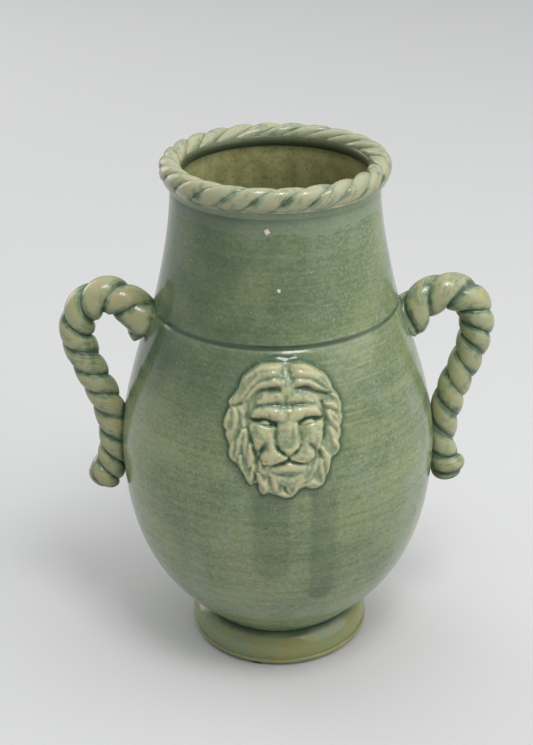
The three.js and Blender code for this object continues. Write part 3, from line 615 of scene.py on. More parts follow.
def make_piece(
    bm: Mesh,
    name: str,
    nodes: list[str],
    materials: list[Material],
    pool: np.ndarray | None = None,
) -> Piece:
    """Makes a finished mesh a piece of the urn that stands for CAD nodes.

    Args:
        bm: The piece's mesh, in metres and in place. It is freed.
        name: The piece's name.
        nodes: The CAD nodes that it stands for.
        materials: Its materials, by face index.
        pool: How deep the glaze pools at each vertex, and how much shade is painted there, from 0 to 1.

    Returns:
        The piece's object.
    """
    mesh = bpy.data.meshes.new(name)
    bm.normal_update()
    for face in bm.faces:
        face.smooth = True
    for edge in bm.edges:
        edge.smooth = edge.calc_face_angle(0.0) < CREASE
    bm.to_mesh(mesh)
    bm.free()
    for material in materials:
        mesh.materials.append(material)
    if pool is not None:
        attribute = mesh.attributes.new(POOL_AND_SHADE, "FLOAT", "POINT")
        attribute.data.foreach_set("value", pool.astype(np.float32))
    piece = bpy.data.objects.new(name, mesh)
    bpy.context.scene.collection.objects.link(piece)
    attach(piece, BODY)
    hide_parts(*nodes)
    LOG.info("%s: %d faces", name, len(mesh.polygons))
    return piece


def places(bm: Mesh) -> np.ndarray:
    """Every vertex of a mesh, in mm."""
    return np.array([vert.co for vert in bm.verts]) / MM


@dataclass(frozen=True)
class Form:
    """The thrown body's outer line, which the handles, the rim and the mask are set on. Sizes in mm."""

    seat: float = 23.5
    waist_radius: float = 54.0
    waist_flare: float = 44.4
    waist_pull: float = 35.6
    belly_radius: float = 106.47
    belly_height: float = 151.6
    belly_pull: float = 78.2
    shoulder_pull: float = 31.6
    seam_radius: float = 80.2
    seam_height: float = 253.2
    neck_radius: float = 66.9
    neck_top: float = 330.95
    neck_pull: float = 26.3
    wall: float = 7.0

    def lower(self, count: int) -> list[Vector]:
        """The line from the waist to the shoulder seam.

        Args:
            count: Points to each of its two curves.

        Returns:
            Points in mm.
        """
        flare = math.radians(self.waist_flare)
        out, up = self.waist_pull * math.sin(flare), self.waist_pull * math.cos(flare)
        waist = (self.waist_radius, self.seat)
        belly = (self.belly_radius, self.belly_height)
        below = (self.belly_radius, self.belly_height - self.belly_pull)
        above = (self.belly_radius, self.belly_height + self.shoulder_pull)
        swell = curve([waist, (waist[0] + out, waist[1] + up), below, belly], count)
        return swell + curve([belly, above, (self.seam_radius, self.seam_height)], count)[1:]

    def upper(self, count: int) -> list[Vector]:
        """The line from the shoulder seam to the top of the neck.

        Args:
            count: How many points to return.

        Returns:
            Points in mm.
        """
        seam = (self.seam_radius, self.seam_height)
        pull = (self.neck_radius, self.neck_top - self.neck_pull)
        return curve([seam, pull, (self.neck_radius, self.neck_top)], count)

    def radius(self, height: np.ndarray | float) -> np.ndarray:
        """The body's outer radius at a height."""
        line = self.line()
        return np.interp(height, line[:, 2], line[:, 0])

    @cache
    def line(self) -> np.ndarray:
        """The whole outer line, finely sampled."""
        return np.array(self.lower(120) + self.upper(120)[1:])

    def inside(self, line: list[Vector]) -> list[Vector]:
        """Moves a line in by the wall's thickness.

        Args:
            line: Points of the outer line.

        Returns:
            Points of the lining.
        """
        points = np.array(line)
        along = np.gradient(points, axis=0)
        along /= np.linalg.norm(along, axis=1, keepdims=True)
        moved = points + self.wall * np.stack([-along[:, 2], along[:, 1], along[:, 0]], axis=1)
        return [Vector(point) for point in moved]


FORM = Form()


@dataclass(frozen=True)
class Run:
    """A run of glaze down the belly: thicker, so darker, with a round end. Degrees from the front, and mm."""

    middle: float
    half: float
    top: float
    end: float
    strength: float
    side: tuple[float, float] = (0.7, 1.15)
    bead: float = 0.3
    fade: float = 5.0

    def depth(self, points: np.ndarray) -> np.ndarray:
        """How deep the run lies on the body.

        Args:
            points: Places in mm.

        Returns:
            A depth from 0 to 1 for each.
        """
        angle = np.degrees(np.arctan2(points[:, 0], -points[:, 1]))
        height = points[:, 2]
        round_off = math.radians(self.half) * FORM.belly_radius
        past = np.maximum(self.end + round_off - height, 0) / round_off
        inside = 1 - smoothstep(*self.side, np.hypot((angle - self.middle) / self.half, past))
        heavy = 1 + self.bead * (1 - smoothstep(self.end, self.end + 2 * round_off, height))
        begun = 1 - smoothstep(self.top - self.fade, self.top + self.fade, height)
        return self.strength * inside * heavy * begun


RUNS = (
    Run(middle=-5.4, half=7.4, top=166.0, end=97.0, strength=0.36),
    Run(middle=13.2, half=5.4, top=168.0, end=76.0, strength=0.4),
    Run(middle=-21.0, half=9.0, top=172.0, end=157.0, strength=0.2),
)


@dataclass
class Body:
    """The thrown body: belly and shoulder, parted by an incised seam. Sizes in mm."""

    floor: float = 9.0
    corner: float = 8.0
    groove: float = 1.0
    groove_half: float = 3.4
    groove_points: int = 10
    corner_points: int = 6
    # Painted shade: the upper body is painted darker towards the viewer's left, where less light falls.
    shaded: tuple[float, float] = (150.0, 245.0)
    shaded_side: float = 60.0
    painted_side_shade: float = 0.55
    seam_pool: float = 0.7
    waist_pool_and_shade: float = 0.7
    neck_pool: float = 0.3
    pool_reach: float = 5.0
    steps: int = 300
    curve_points: int = 64

    def build(self) -> list[Piece]:
        """Builds the belly and the shoulder.

        Returns:
            The pieces.
        """
        materials = [BodyGlaze().material(), InsideGlaze().material()]
        pieces = []
        for name, bm in (("lower_body", self.belly()), ("upper_body", self.shoulder())):
            bm.normal_update()
            for face in bm.faces:
                face.material_index = int(self.is_inside(face))
            depths = self.pool(places(bm))
            pieces.append(make_piece(bm, f"{name}_glazed", [name], materials, depths))
        return pieces

    @staticmethod
    def is_inside(face: bmesh.types.BMFace) -> bool:
        """Whether a face looks in at the axis, or up from the floor.

        Args:
            face: A face of the body.

        Returns:
            True for the lining.
        """
        middle = face.calc_center_median()
        outward = Vector((middle.x, middle.y, 0)).normalized()
        looks_up = face.normal.z > 0.5 and middle.z < FORM.belly_height * MM
        return looks_up or face.normal.dot(outward) < -0.05

    def belly(self) -> Mesh:
        """The belly with its floor and a seat at the seam.

        Returns:
            The mesh, in metres.
        """
        line = FORM.lower(self.curve_points)
        seam = FORM.seam_height
        outside = [point for point in line if point.z < seam - self.groove_half]
        floor_top = FORM.seat + self.floor
        lining = [point for point in FORM.inside(line) if floor_top + self.corner < point.z < seam]
        reach = lining[0].x
        pull, end = (reach - self.corner / 2, floor_top), (reach - 2 * self.corner, floor_top)
        corner = curve([(reach, lining[0].z), pull, end], self.corner_points)
        profile = [
            Vector((0, 0, FORM.seat)),
            *outside,
            *self.groove_side(-1)[::-1],
            Vector((lining[-1].x, 0, seam)),
            *lining[::-1],
            *corner[1:],
            Vector((0, 0, floor_top)),
        ]
        return turned(profile, self.steps, closed=False)

    def shoulder(self) -> Mesh:
        """The shoulder and neck above the seam.

        Returns:
            The mesh, in metres.
        """
        line = FORM.upper(self.curve_points)
        seam = FORM.seam_height
        outside = [point for point in line if point.z > seam + self.groove_half]
        lining = [point for point in FORM.inside(line) if seam < point.z < FORM.neck_top]
        top = Vector((lining[-1].x, 0, FORM.neck_top))
        bottom = Vector((lining[0].x, 0, seam))
        return turned([bottom, *self.groove_side(1), *outside, top, *lining[::-1]], self.steps, closed=True)

    def groove_side(self, way: int) -> list[Vector]:
        """One side of the seam's round groove, from its floor outwards.

        Args:
            way: 1 for the side above the seam, -1 for the side below it.

        Returns:
            Points in mm.
        """
        seam, floor = FORM.seam_height, FORM.seam_radius - self.groove
        middle, end = seam + way * self.groove_half / 2, seam + way * self.groove_half
        pulls = [(floor, seam), (floor, middle), (FORM.seam_radius, middle), (float(FORM.radius(end)), end)]
        return curve(pulls, self.groove_points)

    def pool(self, points: np.ndarray) -> np.ndarray:
        """How deep the glaze pools on the body, with painted shade over the upper body towards the viewer's
        left, at the waist and round the mask.

        Args:
            points: Vertices in mm.

        Returns:
            A depth from 0 to 1 for each.
        """
        height = points[:, 2]
        side = 0.5 + 0.5 * np.cos(np.arctan2(points[:, 0], -points[:, 1]) + math.radians(self.shaded_side))
        # Painted shade over the upper body, darkest towards the viewer's left.
        upper = self.painted_side_shade * smoothstep(*self.shaded, height) * side**2
        off_seam = (height - FORM.seam_height) / (0.5 * self.groove_half)
        seam = self.seam_pool * np.exp(-(off_seam**4))
        # Darker at the waist: glaze pooled in the crease, and painted shade under the belly.
        waist = self.waist_pool_and_shade * (1 - smoothstep(FORM.seat, FORM.seat + self.pool_reach, height))
        neck = self.neck_pool * smoothstep(FORM.neck_top - self.pool_reach, FORM.neck_top, height)
        runs = [run.depth(points) for run in RUNS]
        depth = np.maximum.reduce([seam, waist, neck, LionMask().halo(points), *runs])
        outside = np.hypot(points[:, 0], points[:, 1]) > FORM.radius(height) - 0.5 * FORM.wall
        return np.clip(np.maximum(depth, upper) + 0.5 * np.minimum(depth, upper), 0, 1) * outside


@dataclass
class Foot:
    """The turned foot: it slopes out from the waist to an upright side above a bead. Sizes in mm."""

    radius: float = 63.0
    base: float = 1.6
    bead: float = 1.9
    bead_stand: float = 0.5
    side_bottom: float = 5.59
    side_top: float = 10.5
    side_pull: float = 5.5
    slope_pull: tuple[float, float] = (5.5, 3.6)
    base_width: float = 16.0
    seat_width: float = 10.0
    bead_points: int = 9
    slope_points: int = 14
    steps: int = 160

    def build(self) -> list[Piece]:
        """Builds the foot ring.

        Returns:
            The piece.
        """
        waist, seat = FORM.waist_radius, FORM.seat
        out, down = self.slope_pull
        face = self.radius - self.bead_stand
        side, pull = (face, self.side_top), (face, self.side_top + self.side_pull)
        profile = [
            Vector((self.radius - self.base_width, 0, self.base)),
            *arc((self.radius - self.bead, self.base + self.bead), self.bead, -90, 60, self.bead_points),
            Vector((face, 0, self.side_bottom)),
            *curve([side, pull, (waist + out, seat - down), (waist, seat)], self.slope_points),
            Vector((waist - self.seat_width, 0, seat)),
        ]
        bm = turned(profile, self.steps, closed=True)
        return [make_piece(bm, "foot_ring_glazed", ["foot_ring"], [FootGlaze().material()])]


@dataclass
class Strand:
    """The section of one strand in a rope: a round-backed lobe whose corner lies on the rope's axis."""

    strands: int
    groove: float = 0.19
    points: int = 17
    rounding: float = 2.4
    pooled: tuple[float, float] = (0.4, 1.05)

    def section(self) -> list[tuple[Vector, float, float]]:
        """The lobe's outline for a rope of radius 1.

        Returns:
            Each point, how deep the glaze pools there, and its share of the way from crest to groove.
        """
        half = math.pi / self.strands
        outline = [(Vector((0, 0, 0)), 1.0, 0.0)]
        for share in np.linspace(-1, 1, self.points):
            reach = 1 - self.groove * abs(share) ** self.rounding
            spot = Vector((reach * math.cos(half * share), reach * math.sin(half * share), 0))
            outline.append((spot, float(smoothstep(*self.pooled, abs(share))), float(share)))
        return outline

    def sweep(self, stations: list[Matrix], closed: bool) -> Mesh:
        """Carries the section along a rope.

        Args:
            stations: Places of the section along the rope: axis along Z, crest along X, in metres.
            closed: Whether the last station joins the first.

        Returns:
            The strand's mesh, with glaze depths and shares on its vertices.
        """
        bm = bmesh.new()
        pool = bm.verts.layers.float.new(POOL_AND_SHADE)
        across = bm.verts.layers.float.new(ACROSS)
        ring = []
        for point, depth, share in self.section():
            vert = bm.verts.new(stations[0] @ point)
            vert[pool], vert[across] = depth, share
            ring.append(vert)
        edges = [bm.edges.new((a, b)) for a, b in zip(ring, ring[1:] + ring[:1])]
        first = edges
        for before, after in zip(stations, stations[1:]):
            made = bmesh.ops.extrude_edge_only(bm, edges=edges)["geom"]
            edges = [item for item in made if isinstance(item, bmesh.types.BMEdge)]
            verts = [item for item in made if isinstance(item, bmesh.types.BMVert)]
            new = set(verts)
            edges = [edge for edge in edges if new.issuperset(edge.verts)]
            bmesh.ops.transform(bm, matrix=after @ before.inverted(), verts=verts)
        if closed:
            bmesh.ops.bridge_loops(bm, edges=first + edges)
        else:
            bmesh.ops.holes_fill(bm, edges=first + edges, sides=0)
        bmesh.ops.recalc_face_normals(bm, faces=bm.faces)
        return bm


def station(centre: Vector, across: Vector, beside: Vector, radius: float, turn: float) -> Matrix:
    """The place of a strand's section on its rope.

    Args:
        centre: A point of the rope's axis, in mm.
        across: A direction across the rope.
        beside: The other direction across it.
        radius: The rope's radius there, in mm.
        turn: How far the strand has turned about the axis, in radians.

    Returns:
        The section's matrix, in metres.
    """
    crest = across * math.cos(turn) + beside * math.sin(turn)
    side = beside * math.cos(turn) - across * math.sin(turn)
    axis = crest.cross(side)
    matrix = Matrix((crest, side, axis)).transposed().to_4x4() @ Matrix.Scale(radius * MM, 4)
    matrix.translation = centre * MM
    return matrix


@dataclass
class RopeRim:
    """The rim: a collar with a ledge and a lip, and three strands of rope laid between them.

    Sizes are in mm and angles in degrees.
    """

    rope_radius: float = 6.1
    stretch: float = 1.23
    ring: float = 67.0
    height: float = 342.87
    strands: int = 3
    turns: int = 8
    groove: float = 0.27
    phase: float = 51.0
    upright: float = 0.38
    facing: float = 27.0
    open_from: tuple[float, float] = (-75.0, -25.0)
    open_to: tuple[float, float] = (125.0, 200.0)
    filled: float = 0.8
    core: float = 0.3
    dark_at: float = -3.0
    dark_spread: float = 32.0
    dark_least: float = 0.25
    mouth: float = 59.0
    drawn_in: float = 1.285
    drawn_from: float = 3.5
    drawn_up: float = 0.24
    sunk: float = 0.94
    trough_outer: float = -55.0
    edge: float = 1.5
    edge_round: float = 0.8
    edge_stand: float = 0.3
    edge_swell: float = 0.2
    lip_face: float = 6.5
    lip_drop: float = 0.4
    lip_slope: float = 1.2
    # The cove: glaze pooled in it, with shade painted darker towards the ledge above.
    cove_pool_and_shade: tuple[float, float] = (0.2, 0.6)
    trough_pool: float = 0.3
    lip_light: float = 0.35
    ledge_margin: float = 0.05
    inside_margin: float = 0.1
    cove_points: int = 9
    edge_points: int = 8
    trough_points: int = 18
    steps: int = 160
    stations_per_turn: int = 28

    def build(self) -> list[Piece]:
        """Builds the collar and the strands."""
        return [self.collar(), *self.rope()]

    def collar(self) -> Piece:
        """The collar on the neck: a cove under a ledge, a trough for the rope and a lip round the mouth.

        Returns:
            The piece.
        """
        trough = []
        sunk = self.sunk * self.rope_radius
        for spot in arc((0, 0), sunk, self.trough_outer, -180, self.trough_points):
            out, up = self.pressed(spot.x, spot.z)
            trough.append(Vector((self.ring + out, 0, self.height + up)))
        ledge, lip = trough[0], trough[-1]
        top, inside = FORM.neck_top, FORM.neck_radius - FORM.wall
        under, stand = ledge.z - self.edge, ledge.x + self.edge_stand
        turn, brim = (stand - self.edge_round, under), (ledge.x, ledge.z + self.edge_stand)
        cove = curve([(FORM.neck_radius, top), (FORM.neck_radius, under), turn], self.cove_points)
        edge = curve([turn, (stand + self.edge_swell, under), (stand, ledge.z), brim], self.edge_points)
        lip_top, foot = lip.z - self.lip_drop, lip.z - self.lip_face
        slope = foot - self.lip_slope
        lining = [(self.mouth, lip_top), (self.mouth, foot), (inside, slope), (inside, top)]
        lining = [Vector((x, 0, z)) for x, z in lining]
        bm = turned([*cove, *edge[1:], *trough[1:], *lining], self.steps, closed=True)
        points = places(bm)
        reach, height = np.hypot(points[:, 0], points[:, 1]), points[:, 2]
        # Pooled glaze in the cove, and painted shade growing up to the ledge.
        least, more = self.cove_pool_and_shade
        pool = least + more * smoothstep(under - self.edge, under, height)
        pool = np.where(height < under + self.ledge_margin, pool, self.trough_pool)
        # The lining is darkest at the foot of the lip's inner face, lighter up to the lip's top, and fades
        # out below.
        dark = 1 - self.lip_light * smoothstep(foot, lip_top, height)
        pool = np.where(reach < inside + self.inside_margin, dark * smoothstep(slope, foot, height), pool)
        for face in bm.faces:
            middle = face.calc_center_median() / MM
            if math.hypot(middle.x, middle.y) < inside + self.inside_margin:
                face.material_index = 1
            elif middle.z > under + self.ledge_margin:
                face.material_index = 2
        materials = [BodyGlaze().material(), InsideGlaze().material(), RIM_GLAZE.material()]
        return make_piece(bm, "rim_collar_glazed", ["rim_collar"], materials, pool)

    def rope(self) -> list[Piece]:
        """The strands, each closed on itself after its turns round the mouth.

        Returns:
            The pieces.
        """
        count = self.turns * self.stations_per_turn
        pieces = []
        for number in range(self.strands):
            start = math.radians(self.phase) + 2 * math.pi * number / self.strands
            stations = []
            for i in range(count):
                angle = -2 * math.pi * i / count
                across = Vector((math.sin(angle), -math.cos(angle), 0))
                centre = across * self.ring + Vector((0, 0, self.height))
                turn = start + angle * self.turns
                stations.append(station(centre, across, Vector((0, 0, 1)), self.rope_radius, turn))
            bm = Strand(self.strands, self.groove).sweep(stations, closed=True)
            self.press(bm)
            name = f"rim_strand_{number + 1}"
            pieces.append(make_piece(bm, f"{name}_glazed", [name], [RIM_GLAZE.material()]))
        return pieces

    def pressed(self, out: float, up: float) -> tuple[float, float]:
        """Draws a round section up to its height, and in and up to the mouth on its inner side.

        Args:
            out: Distance outwards from the rope's centre, in mm.
            up: Distance above it.

        Returns:
            The same after pressing.
        """
        if out < 0:
            out *= self.drawn_in
            up += self.drawn_up * max(0.0, -out - self.drawn_from)
        return out, up * self.stretch

    def press(self, bm: Mesh) -> None:
        """Presses a round strand in place and fills its grooves towards the ledge and the mouth.

        Args:
            bm: The strand's mesh.
        """
        layer = bm.verts.layers.float[POOL_AND_SHADE]
        for vert in bm.verts:
            flat = Vector((vert.co.x, vert.co.y, 0))
            out, up = flat.length / MM - self.ring, vert.co.z / MM - self.height
            angle = (math.degrees(math.atan2(up, out)) + 90) % 360 - 90
            deep = math.hypot(out, up) / self.rope_radius
            if deep > self.core:
                open_groove = smoothstep(*self.open_from, angle) * (1 - smoothstep(*self.open_to, angle))
                share = (1 - (1 - deep) * (1 - self.filled + self.filled * float(open_groove))) / deep
                out, up = out * share, up * share
                dark = math.exp(-(((angle - self.dark_at) / self.dark_spread) ** 2))
                vert[layer] *= self.dark_least + (1 - self.dark_least) * dark
            lean = self.upright / self.turns * min(1.0, deep) * math.sin(math.radians(angle - self.facing))
            out, up = self.pressed(out, up)
            across = Matrix.Rotation(-lean, 3, "Z") @ flat.normalized()
            vert.co = (across * (self.ring + out) + Vector((0, 0, self.height + up))) * MM


def lengths(line: np.ndarray) -> np.ndarray:
    """The length along a line at each of its points."""
    return np.concatenate([[0.0], np.cumsum(np.linalg.norm(np.diff(line, axis=0), axis=1))])


def extended(where: np.ndarray, knots: np.ndarray) -> np.ndarray:
    """Reads a table of places and values, and runs on straight past its ends.

    Args:
        where: Places to read.
        knots: Rows of place and value.

    Returns:
        The values.
    """
    first = (knots[1, 1] - knots[0, 1]) / (knots[1, 0] - knots[0, 0])
    last = (knots[-1, 1] - knots[-2, 1]) / (knots[-1, 0] - knots[-2, 0])
    values = np.interp(where, knots[:, 0], knots[:, 1])
    values += np.minimum(where - knots[0, 0], 0) * first
    return values + np.maximum(where - knots[-1, 0], 0) * last


def padded(knots: np.ndarray) -> np.ndarray:
    """A row of points, run on straight by one point past each end."""
    return np.vstack([2 * knots[0] - knots[1], knots, 2 * knots[-1] - knots[-2]])


def through(knots: np.ndarray, count: int = 24) -> np.ndarray:
    """A smooth line through points, each stretch paced by the root of its length.

    Args:
        knots: The points.
        count: Samples to a stretch.

    Returns:
        Points along the line.
    """
    points = padded(knots)
    line = []
    for a, b, c, d in zip(points, points[1:], points[2:], points[3:]):
        t0 = 0.0
        t1 = t0 + math.sqrt(np.linalg.norm(b - a))
        t2 = t1 + math.sqrt(np.linalg.norm(c - b))
        t3 = t2 + math.sqrt(np.linalg.norm(d - c))
        for t in np.linspace(t1, t2, count, endpoint=False):
            ab = a + (b - a) * (t - t0) / (t1 - t0)
            bc = b + (c - b) * (t - t1) / (t2 - t1)
            cd = c + (d - c) * (t - t2) / (t3 - t2)
            abc = ab + (bc - ab) * (t - t0) / (t2 - t0)
            bcd = bc + (cd - bc) * (t - t1) / (t3 - t1)
            line.append(abc + (bcd - abc) * (t - t1) / (t2 - t1))
    return np.array([*line, knots[-1]])


class Side(Enum):
    """Which way a handle stands out from the body."""

    LEFT = -1
    RIGHT = 1


@dataclass
class Handle:
    """A handle: two strands twisted by hand, bent to a loop and pressed on the body.

    Its route is rows of distance off the body and drop below the seam, in mm, and its twist is rows of length
    along the route and turn in degrees.
    """

    side: Side
    route: tuple[tuple[float, float], ...]
    twist: tuple[tuple[float, float], ...]
    top_radius: float = 12.75
    tail_radius: float = 10.95
    taper: tuple[float, float] = (0.2, 0.6)
    root_spread: float = 2.6
    root_reach: float = 9.0
    tail_spread: float = 1.5
    tail_reach: float = 22.0
    tail_rounding: float = 9.0
    tail_end: float = 0.32
    root_depth: float = 3.4
    # Where a strand meets the body the glaze pools and shade is painted; its underside is painted in shade.
    joint_pool_and_shade: tuple[float, float] = (0.4, 2.4)
    underside: tuple[float, float] = (0.2, -0.8)
    painted_underside_shade: float = 0.4
    strands: int = 2
    section_points: int = 21
    spacing: float = 1.0

    def axis(self) -> np.ndarray:
        """The rope's centre line, evenly spaced from its root in the wall to its tail.

        Returns:
            Points in mm.
        """
        knots = []
        for off, drop in self.route:
            level = FORM.seam_height - drop
            knots.append([self.side.value * (float(FORM.radius(level)) + off), 0.0, level])
        line = through(np.array(knots))
        length = lengths(line)
        even = np.arange(0, length[-1], self.spacing)
        return np.stack([np.interp(even, length, line[:, k]) for k in range(3)], axis=1)

    def build(self) -> list[Piece]:
        """Builds the strands.

        Returns:
            The pieces.
        """
        line = self.axis()
        along = np.gradient(line, axis=0)
        along /= np.linalg.norm(along, axis=1, keepdims=True)
        length = lengths(line)
        turns = np.radians(extended(length, np.array(self.twist)))
        off_wall = np.hypot(line[:, 0], line[:, 1]) - FORM.radius(line[:, 2])
        first = int(np.argmax(off_wall > -self.root_depth))
        radii = self.radii(length, float(length[int(np.argmax(off_wall > 0))]))
        beside = Vector((0, 1, 0))
        pieces = []
        for number in range(self.strands):
            start = 2 * math.pi * number / self.strands
            stations = []
            for i in range(first, len(line)):
                across = beside.cross(Vector(along[i]))
                stations.append(station(Vector(line[i]), across, beside, radii[i], turns[i] + start))
            bm = Strand(self.strands, points=self.section_points).sweep(stations, closed=False)
            self.gather(bm)
            name = f"handle_{self.side.name.lower()}_strand_{number + 1}"
            pieces.append(make_piece(bm, f"{name}_glazed", [name], [HANDLE_GLAZE.material()]))
        return pieces

    def gather(self, bm: Mesh) -> None:
        """Pools the glaze where a strand meets the body, with painted shade there too, and paints shade on
        its underside.

        Args:
            bm: The strand's mesh.
        """
        bm.normal_update()
        layer = bm.verts.layers.float[POOL_AND_SHADE]
        points = places(bm)
        # Pooled glaze and painted shade where the strand meets the body.
        near = 1 - smoothstep(*self.joint_pool_and_shade, np.hypot(points[:, 0], points[:, 1]) - FORM.radius(points[:, 2]))
        # Painted shade on the strand's underside, where less light falls.
        under = smoothstep(*self.underside, np.array([vert.normal.z for vert in bm.verts]))
        for vert, depth, below in zip(bm.verts, near, self.painted_underside_shade * under):
            vert[layer] = min(1.0, max(vert[layer], depth) + below)

    def radii(self, length: np.ndarray, wall: float) -> np.ndarray:
        """The rope's radius: spread where it is pressed on the body, swollen and round at the tail.

        Args:
            length: Places along the handle.
            wall: The place where it leaves the wall.

        Returns:
            Radii in mm.
        """
        end = length[-1]
        full = self.top_radius + (self.tail_radius - self.top_radius) * smoothstep(*self.taper, length / end)
        full = full + self.root_spread * np.exp(-np.maximum(length - wall, 0) / self.root_reach)
        full = full + self.tail_spread * smoothstep(end - self.tail_reach, end - self.tail_rounding, length)
        closing = np.maximum(1 - (end - length) / self.tail_rounding, 0)
        return full * np.sqrt(1 - (1 - self.tail_end**2) * closing**2)


LEFT_HANDLE = Handle(
    side=Side.LEFT,
    route=(
        (-14, 27), (-4, 19), (12, 4.4), (31, -4.6), (44, 3.2), (44, 21), (35, 37),
        (24.6, 53), (12.6, 72), (5.6, 93), (5.6, 107), (10.2, 121), (20, 137.6),
    ),
    twist=(
        (14.3, -40), (31.3, -159), (46.6, -337), (64.6, -529), (80.4, -722), (96.5, -913), (114.7, -1095),
        (130.1, -1276), (147.3, -1451), (164.7, -1624), (178.9, -1797), (190.9, -1977),
    ),
)
RIGHT_HANDLE = Handle(
    side=Side.RIGHT,
    route=(
        (-14, 28), (-4, 21), (12, 7.4), (31.5, -1.2), (45.5, 5), (45.6, 21), (38.5, 37),
        (28.4, 53), (18, 69), (10.8, 85), (6.6, 104), (8, 119), (19.5, 139.6),
    ),
    twist=(
        (19.2, -202), (36, -385), (54.4, -559), (69.6, -719), (82.9, -889), (96.2, -1064),
        (112.2, -1240), (128.9, -1420), (144.9, -1604), (163.1, -1788), (183.8, -1976), (197.7, -2160),
    ),
)


